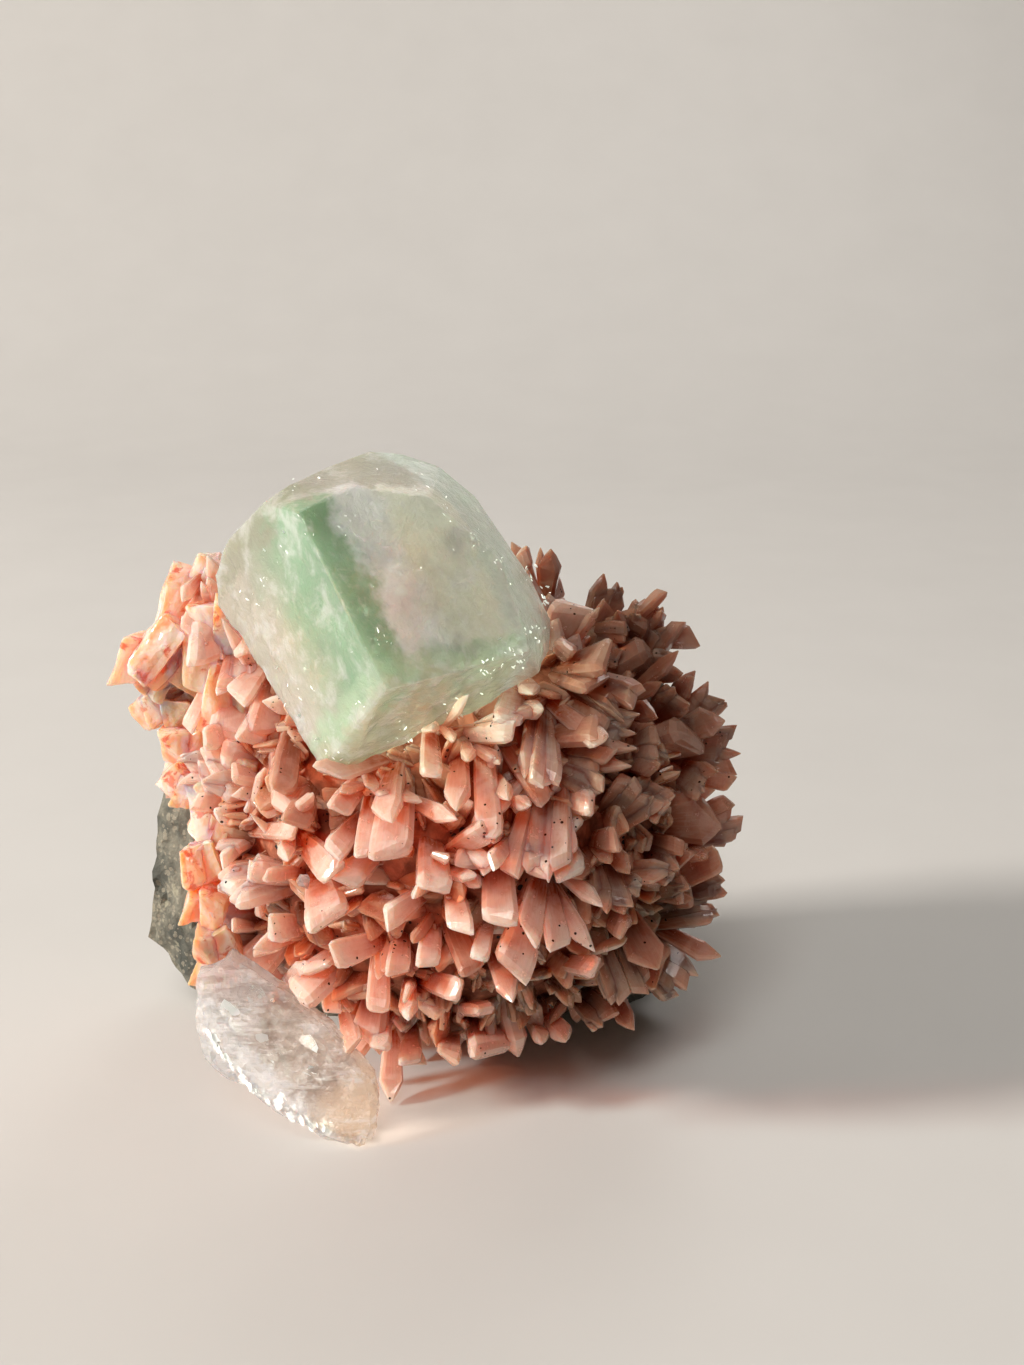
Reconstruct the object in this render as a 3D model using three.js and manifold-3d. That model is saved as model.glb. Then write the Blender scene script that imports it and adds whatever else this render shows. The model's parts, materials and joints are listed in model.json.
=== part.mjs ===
// Heulandite and apophyllite specimen: a dome of pink heulandite blades on a slab of dark
// basalt, with a block-shaped clear apophyllite crystal on its upper left shoulder and a
// clear bladed crystal leaning on its foot. Millimetres, +Z up, +X to the right of the
// photograph, +Y away from the viewer. The origin is on the surface the specimen rests on.
import * as THREE from 'three';
import { ConvexGeometry } from 'three/addons/geometries/ConvexGeometry.js';
import { mergeVertices } from 'three/addons/utils/BufferGeometryUtils.js';
import Module from 'manifold-3d';

const wasm = await Module();
wasm.setup();

// Clearances
const GAP = 0.35;
const JOIN_DEPTH = 3.5;
const SLIVER = 0.1;

// The viewpoint that the crystals were read from, as a picture 1024 x 1365 pixels
const EYE = new THREE.Vector3(6.25, -175, 97.1);
const EYE_PITCH = THREE.MathUtils.degToRad(17.7);
const PICTURE_CENTRE = [512, 682.5];
const PICTURE_FOCAL = 1656;

// Heulandite dome: the mass that the blades grow from, and how far they stand out of it
const DOME_CENTRE = new THREE.Vector3(0, -6, 28.5);
const DOME_RADII = new THREE.Vector3(23.6, 19.8, 23.4);
const BLADE_REACH = 6.2;
const BLADE_MIN_LENGTH = 5.5;
const BLADE_LEAN_FORWARD = 9;
const BLADE_LEAN_BACK = 6;
const DOME_FACETS = 3;
const FILLER_COUNT = 215;
const FILLER_SPACING = 4.5;
const FILLER_SEED = 20417;

// The broken left side of the dome, a plane through this point
const BREAK_POINT = new THREE.Vector3(-27.2, -4, 28);
const BREAK_TURN = THREE.MathUtils.degToRad(21.5);

// Basalt slab behind the dome
const SLAB_CENTRE = new THREE.Vector3(-4.5, 5.4, 22);
const SLAB_RADII = new THREE.Vector3(30, 9.4, 26.5);
const SLAB_SQUARENESS = 3.4;
const SLAB_ROUGHNESS = 0.075;
const SLAB_CHIPPING = 0.035;
const SLAB_FACETS = 4;

// Apophyllite block: the directions of its two shown faces and where its middle is
const BLOCK_CENTRE = new THREE.Vector3(-7.1, -20, 54.8);
const BLOCK_FRONT = new THREE.Vector3(0.488, -0.574, 0.657).normalize();
const BLOCK_LEFT = new THREE.Vector3(-0.752, -0.658, -0.016).normalize();
const BLOCK_FRONT_REACH = 8.5;
const BLOCK_LEFT_REACH = 9;
const BLOCK_GROWTH = 1.04;

// Clear blade at the foot
const CLEAR_BLADE_THICKNESS = 3.2;
const CLEAR_BLADE_TOP_DEPTH = -19.5;
const CLEAR_BLADE_FOOT_DEPTH = -26.8;

// How far the broken lumps are tipped out of the picture plane, in radians
const LUMP_TILT = 1.1;

const HALL = 400;

// Corners of the block's front face, in picture pixels
const BLOCK_FRONT_CORNERS = [
  [297, 512], [386, 691], [531, 652], [500, 560], [430, 497], [352, 487],
];

// Corners on the block's left face
const BLOCK_LEFT_CORNERS = [
  [306, 745], [283, 697], [219, 605], [215, 575], [220, 548], [264, 502],
];

// Corners round the rest of the block's outline, with their height over the block's middle
// measured along its front direction
const BLOCK_RIM_CORNERS = [
  [551, 620, 4.5], [549, 650, 4.5], [529, 575, 4.5], [503, 541, 4.5], [476, 497, 4],
  [440, 467, 3.5], [403, 454, 2.5], [369, 451, 2.5], [330, 466, 3.5], [290, 484, 4.5],
  [538, 671, 4.5], [513, 688, 2.5], [470, 712, -0.5], [415, 735, -3.5],
  [374, 757, -5.5], [345, 774, -6.5], [318, 770, -7.2],
];

// Corners of the block's far side
const BLOCK_BACK_CORNERS = [
  [515, 590, -2.5], [524, 638, -2], [455, 505, -3], [395, 475, -4], [330, 490, -4.5],
  [290, 520, -5.5], [470, 670, -4.5], [300, 640, -10],
];

// Outline of the clear blade, in picture pixels, from its top round to its foot
const CLEAR_BLADE_OUTLINE = [
  [198, 970], [230, 952], [257, 968], [300, 997], [337, 1032], [375, 1077], [381, 1097],
  [375, 1137], [364, 1146], [321, 1134], [294, 1120], [244, 1083], [204, 1056], [194, 1002],
];

// How a blade ends
const POINTED = 0;
const SLANTED = 1;
const BLUNT = 2;

// The blades that can be told apart: where each leaves the mass and where its tip is, in
// picture pixels, then its width in millimetres and how it ends
const SHOWN_BLADES = [
  // Middle of the face
  [427, 740, 420, 779, 2.2, BLUNT], [462, 762, 466, 812, 2.6, POINTED],
  [485, 748, 495, 838, 2.6, BLUNT], [510, 838, 483, 858, 1.8, SLANTED],
  [498, 780, 508, 797, 1.7, POINTED], [540, 725, 535, 788, 3.5, BLUNT],
  [548, 797, 540, 883, 4.4, SLANTED], [565, 845, 578, 880, 3.2, SLANTED],
  [520, 845, 536, 882, 2.2, POINTED], [372, 808, 374, 857, 2.0, BLUNT],
  [400, 790, 398, 862, 4.2, BLUNT], [415, 802, 457, 822, 1.9, POINTED],
  [455, 845, 480, 825, 2.4, SLANTED], [432, 850, 437, 893, 3.4, BLUNT],
  [420, 895, 385, 922, 2.4, SLANTED], [495, 868, 492, 928, 3.6, BLUNT],
  [487, 930, 482, 962, 1.9, BLUNT], [535, 900, 517, 985, 4.0, SLANTED],
  [553, 888, 588, 955, 2.1, POINTED], [370, 860, 345, 885, 3.0, SLANTED],
  [355, 785, 333, 806, 2.5, BLUNT], [355, 825, 328, 855, 2.5, SLANTED],
  [452, 895, 455, 935, 2.6, SLANTED], [508, 800, 530, 805, 1.6, POINTED],
  [515, 693, 512, 728, 2.9, BLUNT], [520, 708, 542, 705, 2.0, POINTED],
  [460, 735, 520, 732, 2.3, SLANTED], [452, 930, 470, 975, 2.8, BLUNT],
  // Upper right
  [555, 640, 585, 600, 4.2, SLANTED], [548, 590, 552, 560, 2.4, POINTED],
  [515, 575, 532, 556, 2.0, SLANTED], [597, 625, 612, 588, 2.2, POINTED],
  [640, 650, 658, 610, 3.6, SLANTED], [622, 645, 628, 608, 2.4, POINTED],
  [650, 640, 668, 640, 2.0, SLANTED], [650, 672, 677, 665, 2.2, SLANTED],
  [655, 715, 680, 690, 2.4, POINTED], [680, 720, 703, 692, 3.2, SLANTED],
  [690, 750, 735, 748, 2.8, POINTED], [680, 772, 714, 780, 2.4, SLANTED],
  [575, 690, 627, 720, 4.2, SLANTED], [570, 735, 641, 740, 3.8, BLUNT],
  [565, 765, 611, 778, 2.8, SLANTED], [625, 712, 658, 717, 1.8, POINTED],
  [585, 640, 626, 645, 2.6, BLUNT], [560, 655, 566, 640, 2.4, BLUNT],
  [615, 815, 650, 785, 2.8, SLANTED], [630, 755, 662, 750, 2.2, POINTED],
  // Right and lower right
  [645, 795, 667, 812, 2.1, SLANTED], [570, 800, 592, 805, 2.6, BLUNT],
  [695, 830, 733, 819, 2.9, SLANTED], [690, 850, 703, 858, 1.9, POINTED],
  [650, 850, 683, 860, 2.8, SLANTED], [655, 885, 684, 875, 3.0, BLUNT],
  [612, 880, 640, 893, 2.4, SLANTED], [600, 865, 612, 913, 2.1, POINTED],
  [598, 842, 621, 848, 1.9, SLANTED], [610, 915, 630, 925, 2.0, BLUNT],
  [685, 890, 718, 880, 2.1, SLANTED], [670, 915, 719, 909, 2.6, BLUNT],
  [675, 935, 700, 945, 1.7, POINTED], [650, 955, 690, 985, 3.8, SLANTED],
  [610, 940, 634, 1000, 4.2, SLANTED], [620, 995, 630, 1015, 1.6, POINTED],
  [585, 1000, 612, 1022, 2.3, SLANTED], [565, 965, 592, 975, 2.4, BLUNT],
  [545, 1015, 558, 1043, 2.4, POINTED], [528, 1020, 536, 1044, 1.8, POINTED],
  // Foot
  [380, 960, 378, 1015, 2.4, BLUNT], [348, 1010, 362, 1045, 2.4, SLANTED],
  [382, 1015, 380, 1052, 2.4, BLUNT], [402, 940, 400, 976, 2.4, SLANTED],
  [412, 985, 417, 1018, 2.0, POINTED], [430, 982, 456, 995, 2.5, BLUNT],
  [460, 1008, 480, 1012, 2.2, SLANTED], [495, 962, 512, 1002, 2.3, POINTED],
  [480, 1020, 492, 1058, 4.6, SLANTED], [432, 930, 428, 968, 2.4, BLUNT],
  [328, 980, 335, 1012, 2.0, SLANTED], [412, 1035, 415, 1068, 2.5, SLANTED],
  [390, 1050, 387, 1087, 2.6, POINTED], [322, 885, 328, 930, 4.4, SLANTED],
  [375, 940, 330, 950, 2.9, SLANTED], [450, 1030, 445, 1062, 2.6, SLANTED],
  // Left
  [300, 925, 268, 930, 3.0, SLANTED], [290, 735, 275, 790, 2.8, BLUNT],
  [280, 770, 283, 820, 3.6, POINTED], [310, 795, 300, 828, 3.0, SLANTED],
  [262, 832, 297, 835, 2.0, BLUNT], [288, 835, 280, 862, 1.8, POINTED],
  [298, 868, 266, 867, 1.5, BLUNT], [240, 890, 272, 880, 2.0, SLANTED],
  [310, 845, 340, 872, 3.1, BLUNT], [285, 982, 308, 960, 1.6, POINTED],
  [262, 700, 230, 640, 1.8, POINTED], [245, 665, 235, 690, 2.6, SLANTED],
  [270, 700, 252, 748, 3.1, SLANTED], [240, 725, 205, 738, 2.6, BLUNT],
];

// Broken peach-coloured crystals of the left edge: where each lump is in the picture, how far
// back it is, its half width, half height and half depth, and its turn in the picture plane
const BROKEN_LUMPS = [
  // The knob that stands out at the upper left
  [206, 580, -2, 2.6, 3.4, 3.5, 25], [186, 606, -3, 3.0, 5.0, 3.6, 20],
  [152, 662, -4, 3.8, 3.4, 3.4, 40], [176, 652, -5, 4.2, 4.6, 3.6, 30],
  [207, 655, -5, 4.6, 5.2, 4.2, 10], [160, 700, -3, 3.6, 2.4, 3.2, -35],
  [196, 707, -3, 4.4, 3.6, 4.0, -20], [232, 622, -6, 4.0, 4.5, 5.0, 0],
  [236, 690, -6, 4.0, 5.0, 5.0, 0],
  // Layered lumps below it
  [190, 742, -5, 2.6, 2.6, 4.2, -15], [186, 776, -7, 2.2, 2.4, 4.2, 20],
  [214, 788, -9, 2.8, 3.0, 4.6, -25], [240, 770, -9, 2.6, 3.4, 5.0, 10],
  // The edge down the left side
  [212, 820, -11, 2.2, 2.8, 4.6, 15], [209, 856, -12, 2.2, 2.8, 5.2, -10],
  [212, 893, -13, 2.4, 2.9, 5.2, 20], [217, 927, -14, 2.4, 2.8, 5.0, -15],
  [219, 958, -13, 2.4, 2.4, 4.6, 10],
];

function seededRandom(seed) {
  let state = seed;
  return () => {
    state = (state * 1103515245 + 12345) % 2147483648;
    return state / 2147483648;
  };
}

// Direction in which a pixel of the picture is seen from the viewpoint
function sightDirection(px, py) {
  const across = (px - PICTURE_CENTRE[0]) / PICTURE_FOCAL;
  const up = (PICTURE_CENTRE[1] - py) / PICTURE_FOCAL;
  const cos = Math.cos(EYE_PITCH);
  const sin = Math.sin(EYE_PITCH);
  return new THREE.Vector3(across, cos + up * sin, up * cos - sin);
}

function seenAtDepth(px, py, y) {
  const sight = sightDirection(px, py);
  return EYE.clone().addScaledVector(sight, (y - EYE.y) / sight.y);
}

function seenOnPlane(px, py, normal, reach, centre) {
  const sight = sightDirection(px, py);
  const start = reach - EYE.clone().sub(centre).dot(normal);
  return EYE.clone().addScaledVector(sight, start / sight.dot(normal));
}

// Where a pixel meets the dome raised by some height, or passes closest to it
function seenOnDome(px, py, height) {
  const radii = DOME_RADII.clone().addScalar(height);
  const sight = sightDirection(px, py);
  const from = EYE.clone().sub(DOME_CENTRE).divide(radii);
  const along = sight.clone().divide(radii);
  const a = along.dot(along);
  const b = from.dot(along);
  const c = from.dot(from) - 1;
  const inside = Math.max(0, b * b - a * c);
  return EYE.clone().addScaledVector(sight, (-b - Math.sqrt(inside)) / a);
}

function solidOf(geometry) {
  const bare = geometry.clone();
  bare.deleteAttribute('normal');
  bare.deleteAttribute('uv');
  const merged = mergeVertices(bare, 1e-4);
  return new wasm.Manifold(new wasm.Mesh({
    numProp: 3,
    vertProperties: new Float32Array(merged.attributes.position.array),
    triVerts: new Uint32Array(merged.index.array),
  }));
}

function hullOf(points) {
  return solidOf(new ConvexGeometry(points));
}

function largestBody(solid) {
  const bodies = solid.decompose();
  return bodies.reduce((best, body) => (body.volume() > best.volume() ? body : best));
}

function meshOf(name, solid, look) {
  const data = solid.getMesh();
  const geometry = new THREE.BufferGeometry();
  geometry.setAttribute('position', new THREE.BufferAttribute(data.vertProperties, 3));
  geometry.setIndex(new THREE.BufferAttribute(data.triVerts, 1));
  geometry.computeVertexNormals();
  const mesh = new THREE.Mesh(geometry, new THREE.MeshStandardMaterial(look));
  mesh.name = name;
  return mesh;
}

// Everything above the surface that the specimen rests on
function aboveGround() {
  return solidOf(new THREE.BoxGeometry(HALL, HALL, HALL).translate(0, 0, HALL / 2));
}

// Everything to the right of the broken left side
function rightOfBreak() {
  const box = new THREE.BoxGeometry(HALL, HALL, HALL).translate(HALL / 2, 0, 0);
  box.rotateZ(BREAK_TURN);
  return solidOf(box.translate(BREAK_POINT.x, BREAK_POINT.y, BREAK_POINT.z));
}

// A tablet that widens to a shoulder and narrows to its end
function blade(root, tip, width, thickness, ending, twist) {
  const axis = tip.clone().sub(root);
  const length = Math.max(axis.length(), BLADE_MIN_LENGTH);
  axis.normalize();
  const sight = root.clone().sub(EYE).normalize();
  const side = new THREE.Vector3().crossVectors(axis, sight);
  if (side.length() < 0.2) {
    side.crossVectors(axis, new THREE.Vector3(0, 0, 1));
  }
  side.normalize().applyAxisAngle(axis, twist);
  const face = new THREE.Vector3().crossVectors(side, axis);
  const end = root.clone().addScaledVector(axis, length);
  const start = root.clone().addScaledVector(axis, -JOIN_DEPTH);
  const points = [];
  const corner = (back, across, out) => {
    const point = end.clone().addScaledVector(axis, -back);
    points.push(point.addScaledVector(side, across).addScaledVector(face, out));
  };
  const ring = (back, leftWidth, rightWidth, depth, slope) => {
    corner(back + slope, -leftWidth, -depth);
    corner(back + slope, -leftWidth, depth);
    corner(back, rightWidth, -depth);
    corner(back, rightWidth, depth);
  };
  const full = end.distanceTo(start);
  ring(full, width * 0.32, width * 0.32, thickness * 0.4, 0);
  if (ending === POINTED) {
    ring(length * 0.45, width * 0.5, width * 0.5, thickness * 0.5, 0);
    ring(0, width * 0.1, width * 0.14, thickness * 0.22, 0);
  } else if (ending === SLANTED) {
    ring(length * 0.2, width * 0.5, width * 0.5, thickness * 0.5, width * 0.35);
    ring(0, width * 0.32, width * 0.4, thickness * 0.3, width * 0.3);
  } else {
    ring(length * 0.3, width * 0.5, width * 0.5, thickness * 0.5, 0);
    ring(0, width * 0.4, width * 0.42, thickness * 0.36, width * 0.08);
  }
  return hullOf(points);
}

function shownBlades() {
  const random = seededRandom(FILLER_SEED);
  return SHOWN_BLADES.map(([rootX, rootY, tipX, tipY, width, ending]) => {
    const root = seenOnDome(rootX, rootY, 0);
    const outermost = seenOnDome(tipX, tipY, BLADE_REACH).y;
    const depth = THREE.MathUtils.clamp(outermost, root.y - BLADE_LEAN_FORWARD, root.y + BLADE_LEAN_BACK);
    const tip = seenAtDepth(tipX, tipY, depth);
    const thickness = 1 + width * 0.42;
    return { root, solid: blade(root, tip, width, thickness, ending, (random() - 0.5) * 0.7) };
  });
}

// Blades that fill the mass between and behind the ones that can be told apart
function fillerBlades(taken) {
  const random = seededRandom(FILLER_SEED + 1);
  const turn = Math.PI * (3 - Math.sqrt(5));
  const blades = [];
  for (let i = 0; i < FILLER_COUNT; i += 1) {
    const height = 1 - (2 * (i + 0.5)) / FILLER_COUNT;
    const ring = Math.sqrt(1 - height * height);
    const outward = new THREE.Vector3(Math.cos(i * turn) * ring, Math.sin(i * turn) * ring, height);
    const root = outward.clone().multiply(DOME_RADII).add(DOME_CENTRE);
    const lean = new THREE.Vector3(random() - 0.5, random() - 0.5, random() - 0.5);
    const length = BLADE_REACH * (0.55 + 0.4 * random());
    const width = 3 + 2.4 * random();
    const ending = Math.floor(random() * 3);
    const twist = random() * Math.PI;
    const tip = root.clone().addScaledVector(outward.addScaledVector(lean, 0.7).normalize(), length);
    const crowded = taken.some((other) => other.distanceTo(root) < FILLER_SPACING);
    const hidden = root.y > SLAB_CENTRE.y;
    if (!crowded && !hidden) {
      blades.push(blade(root, tip, width, 0.9 + width * 0.33, ending, twist));
    }
  }
  return blades;
}

// A worn block with cut corners, seen square on from the viewpoint
function lump([px, py, y, halfWidth, halfHeight, halfDepth, turn], random) {
  const centre = seenAtDepth(px, py, y);
  const angle = THREE.MathUtils.degToRad(turn);
  const points = [];
  for (const x of [-1, 1]) {
    for (const yy of [-1, 1]) {
      for (const z of [-1, 1]) {
        const trim = 0.55 + 0.35 * random();
        points.push(new THREE.Vector3(x * trim * halfWidth, yy * halfDepth * 0.75, z * halfHeight));
        points.push(new THREE.Vector3(x * halfWidth, yy * halfDepth * trim, z * trim * halfHeight));
      }
    }
  }
  const tilt = new THREE.Euler((random() - 0.5) * LUMP_TILT, -angle, (random() - 0.5) * LUMP_TILT);
  return hullOf(points.map((point) => point.applyEuler(tilt).add(centre)));
}

function brokenLumps() {
  const random = seededRandom(FILLER_SEED + 2);
  return BROKEN_LUMPS.map((row) => lump(row, random));
}

// Irregular height of the slab's broken surface in a given direction
function slabUnevenness(direction) {
  const wave = (a, b, c, phase) => Math.sin(a * direction.x + b * direction.y + c * direction.z + phase);
  const broad = wave(3.1, 1.7, 2.3, 0.4) + wave(-2.2, 2.9, 4.1, 1.9);
  const fine = wave(9.1, -6.3, 7.7, 2.2) + wave(6.7, 11.9, -8.3, 0.7);
  const chips = Math.sign(wave(13.3, 5.9, 10.7, 1.1)) * Math.abs(wave(17.9, -14.3, 12.1, 2.6));
  return 1 + SLAB_ROUGHNESS * (0.5 * broad + 0.4 * fine) + SLAB_CHIPPING * chips;
}

function slab(growth) {
  const geometry = new THREE.IcosahedronGeometry(1, SLAB_FACETS);
  const position = geometry.attributes.position;
  const point = new THREE.Vector3();
  for (let i = 0; i < position.count; i += 1) {
    point.fromBufferAttribute(position, i).normalize();
    const sum = Math.abs(point.x) ** SLAB_SQUARENESS + Math.abs(point.y) ** SLAB_SQUARENESS
      + Math.abs(point.z) ** SLAB_SQUARENESS;
    const reach = slabUnevenness(point) / sum ** (1 / SLAB_SQUARENESS);
    const radii = SLAB_RADII.clone().addScalar(growth);
    point.multiplyScalar(reach).multiply(radii).add(SLAB_CENTRE);
    position.setXYZ(i, point.x, point.y, point.z);
  }
  return solidOf(geometry).intersect(aboveGround());
}

function blockCorners() {
  const onFront = ([px, py]) => seenOnPlane(px, py, BLOCK_FRONT, BLOCK_FRONT_REACH, BLOCK_CENTRE);
  const onLeft = ([px, py]) => seenOnPlane(px, py, BLOCK_LEFT, BLOCK_LEFT_REACH, BLOCK_CENTRE);
  const behind = ([px, py, reach]) => seenOnPlane(px, py, BLOCK_FRONT, reach, BLOCK_CENTRE);
  return [
    ...BLOCK_FRONT_CORNERS.map(onFront),
    ...BLOCK_LEFT_CORNERS.map(onLeft),
    ...BLOCK_RIM_CORNERS.map(behind),
    ...BLOCK_BACK_CORNERS.map(behind),
  ];
}

function block(growth) {
  const grow = (corner) => corner.sub(BLOCK_CENTRE).multiplyScalar(growth).add(BLOCK_CENTRE);
  return hullOf(blockCorners().map(grow));
}

// A thin tablet with the outline of the clear blade, leaning back on the dome's foot
function clearBlade(growth) {
  const topY = Math.min(...CLEAR_BLADE_OUTLINE.map(([, py]) => py));
  const footY = Math.max(...CLEAR_BLADE_OUTLINE.map(([, py]) => py));
  const middle = seenAtDepth(290, 1045, (CLEAR_BLADE_TOP_DEPTH + CLEAR_BLADE_FOOT_DEPTH) / 2);
  const half = CLEAR_BLADE_THICKNESS / 2 + growth;
  const points = [];
  for (const [px, py] of CLEAR_BLADE_OUTLINE) {
    const share = (py - topY) / (footY - topY);
    const depth = THREE.MathUtils.lerp(CLEAR_BLADE_TOP_DEPTH, CLEAR_BLADE_FOOT_DEPTH, share);
    const rim = seenAtDepth(px, py, depth);
    const outward = rim.clone().sub(middle).setY(0).normalize();
    rim.addScaledVector(outward, growth);
    points.push(rim.clone().add(new THREE.Vector3(0, -half * 0.6, 0)));
    points.push(rim.clone().add(new THREE.Vector3(0, half, 0)));
    rim.addScaledVector(outward, -0.9);
    points.push(rim.add(new THREE.Vector3(0, -half, 0)));
  }
  return hullOf(points).intersect(aboveGround());
}

function heulanditeCluster() {
  const mass = new THREE.IcosahedronGeometry(1, DOME_FACETS);
  mass.scale(DOME_RADII.x, DOME_RADII.y, DOME_RADII.z);
  mass.translate(DOME_CENTRE.x, DOME_CENTRE.y, DOME_CENTRE.z);
  const shown = shownBlades();
  const fillers = fillerBlades(shown.map(({ root }) => root));
  const dome = wasm.Manifold.union([solidOf(mass), ...shown.map(({ solid }) => solid), ...fillers]);
  const joined = wasm.Manifold.union([dome.intersect(rightOfBreak()), ...brokenLumps()]);
  const neighbours = wasm.Manifold.union([slab(GAP + 0.2), block(BLOCK_GROWTH), clearBlade(GAP)]);
  return largestBody(joined.subtract(neighbours).intersect(aboveGround()).simplify(SLIVER));
}

const specimen = new THREE.Group();
specimen.add(meshOf('basalt_matrix', slab(0), { color: 0x3c423b, roughness: 0.92, metalness: 0 }));
specimen.add(meshOf('heulandite_cluster', heulanditeCluster(), {
  color: 0xcf8f7c, roughness: 0.38, metalness: 0,
}));
specimen.add(meshOf('apophyllite_crystal', block(1), { color: 0xc9d6c4, roughness: 0.12, metalness: 0 }));
specimen.add(meshOf('clear_blade_crystal', clearBlade(0), {
  color: 0xe6dcd2, roughness: 0.15, metalness: 0,
}));

export default specimen;
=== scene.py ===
# Looks of the heulandite and apophyllite specimen: pink heulandite blades on basalt, a
# see-through block of apophyllite and a clear blade, on a plain pale floor.
import json
import math
import random

import bmesh
import bpy
import numpy as np
from mathutils import Matrix, Vector, noise

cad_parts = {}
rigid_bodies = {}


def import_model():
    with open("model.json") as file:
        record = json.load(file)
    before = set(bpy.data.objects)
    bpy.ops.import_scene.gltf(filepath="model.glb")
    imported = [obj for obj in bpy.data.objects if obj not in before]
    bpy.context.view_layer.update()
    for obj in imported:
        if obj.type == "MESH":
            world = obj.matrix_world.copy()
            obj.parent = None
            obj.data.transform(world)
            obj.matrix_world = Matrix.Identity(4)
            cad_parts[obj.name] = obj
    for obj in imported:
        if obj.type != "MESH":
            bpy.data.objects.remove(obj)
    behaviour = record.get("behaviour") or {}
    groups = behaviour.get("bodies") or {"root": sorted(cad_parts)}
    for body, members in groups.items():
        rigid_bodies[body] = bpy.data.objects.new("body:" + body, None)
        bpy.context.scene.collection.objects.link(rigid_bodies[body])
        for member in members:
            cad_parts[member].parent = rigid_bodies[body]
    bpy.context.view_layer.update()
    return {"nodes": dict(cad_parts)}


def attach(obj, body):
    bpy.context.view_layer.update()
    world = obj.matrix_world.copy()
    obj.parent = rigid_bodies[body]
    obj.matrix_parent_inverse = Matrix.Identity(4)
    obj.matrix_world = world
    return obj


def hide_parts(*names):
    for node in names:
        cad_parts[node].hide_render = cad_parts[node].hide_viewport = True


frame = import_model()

MM = 0.001
FLOOR_GAP = 0.02

# The viewpoint that the crystals were read from, as a picture 1024 x 1365 pixels
EYE = Vector((6.25, -175.0, 97.1))
EYE_PITCH = math.radians(17.7)
PICTURE_TALL = 1365
PICTURE_CENTRE = (512.0, 682.5)
PICTURE_FOCAL = 1656.0

# Heulandite dome
DOME_CENTRE = Vector((0, -6, 28.5))
DOME_RADII = Vector((23.6, 19.8, 23.4))
BLADE_REACH = 6.2
BLADE_MIN_LENGTH = 5.5
BLADE_LEAN_FORWARD = 9
BLADE_LEAN_BACK = 6
JOIN_DEPTH = 3.0
FILLER_COUNT = 215
FILLER_SPACING = 4.5
FILLER_SEED = 20417
BREAK_POINT = Vector((-27.2, -4, 28))
BREAK_TURN = math.radians(21.5)
BREAK_OUTWARD = Vector((math.cos(BREAK_TURN), math.sin(BREAK_TURN), 0))
SLAB_MIDDLE_DEPTH = 5.4
# How much wider than their solids the filling and the right-hand blades are, to close the crust
FILLER_SWELL = 1.15
RIGHT_SWELL = 1.32
# Right of this pixel, and of this x in mm, the blades are wider, mostly fanned and darker: partly their
# own tone, partly painted shade
FAN_SIDE = 600
PALE_SIDE = 13.0

# Apophyllite block
BLOCK_CENTRE = Vector((-7.1, -20, 54.8))
BLOCK_FRONT = Vector((0.488, -0.574, 0.657)).normalized()
BLOCK_LEFT = Vector((-0.752, -0.658, -0.016)).normalized()
BLOCK_DOWN = Vector((0.442, -0.487, -0.753)).normalized()

VEIL_COUNT = 110
# White flakes near the block's faces and edges, which paint its sparkles
SPARKLE_COUNT = 90
# Clusters of white flakes on the block that paint its bright glints: place in the picture, how many
GLINTS = [
    (294, 490, 4), (298, 526, 8), (286, 557, 6), (446, 510, 9), (468, 535, 12), (500, 560, 7),
    (365, 710, 6), (380, 643, 9), (485, 668, 14), (512, 655, 16), (535, 628, 12), (330, 758, 8),
    (400, 736, 10), (455, 712, 9), (262, 580, 6), (300, 690, 6), (345, 520, 5), (420, 480, 5),
    (543, 595, 12), (370, 590, 5), (250, 600, 6), (415, 560, 4), (525, 575, 7),
]

# Clear blade
CLEAR_BLADE_THICKNESS = 3.2
CLEAR_BLADE_TOP_DEPTH = -19.5
CLEAR_BLADE_FOOT_DEPTH = -26.8
CLEAR_BLADE_FLAKES = 60
CLEAR_BLADE_BRIGHT_EDGE = [(212, 1032), (226, 1062), (262, 1092), (300, 1118), (334, 1130)]
CLEAR_BLADE_OUTLINE = [
    (198, 970), (230, 952), (257, 968), (300, 997), (337, 1032), (375, 1077), (381, 1097),
    (375, 1137), (364, 1146), (321, 1134), (294, 1120), (244, 1083), (204, 1056), (194, 1002),
]
# First and last picture row of the outline
CLEAR_BLADE_SPAN = [reach(py for _, py in CLEAR_BLADE_OUTLINE) for reach in (min, max)]

# Seeds of the random draws in Blender
BLADE_SEED = 71
SLAB_SEED = 9
VEIL_SEED = 33
FLAKE_SEED = 12
CLEAR_BLADE_SEED = 5
SMALL_SHAPE_SEED = 14
TONE_SEED = 7

POINTED, SLANTED, BLUNT = 0, 1, 2

# How a blade widens and ends: share of its length, left and right half width as shares of its
# width, how far the oblique end lags behind in widths, and thickness share
ENDINGS = {
    POINTED: [(0, .3, .3, 0, .85), (.5, .42, .42, 0, 1), (.74, .5, .48, 0, 1),
              (.9, .25, .24, 0, .66), (1, .03, .04, 0, .16)],
    SLANTED: [(0, .3, .3, 0, .85), (.5, .43, .43, 0, 1), (.8, .5, .5, .22, 1),
              (.93, .5, .48, .42, .8), (1, .42, .44, .5, .26)],
    BLUNT: [(0, .32, .32, 0, .85), (.5, .45, .45, 0, 1), (.86, .5, .5, .1, 1),
            (.95, .48, .44, .2, .68), (1, .34, .2, .24, .24)],
}
RIM_BEVEL = 0.14

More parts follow.
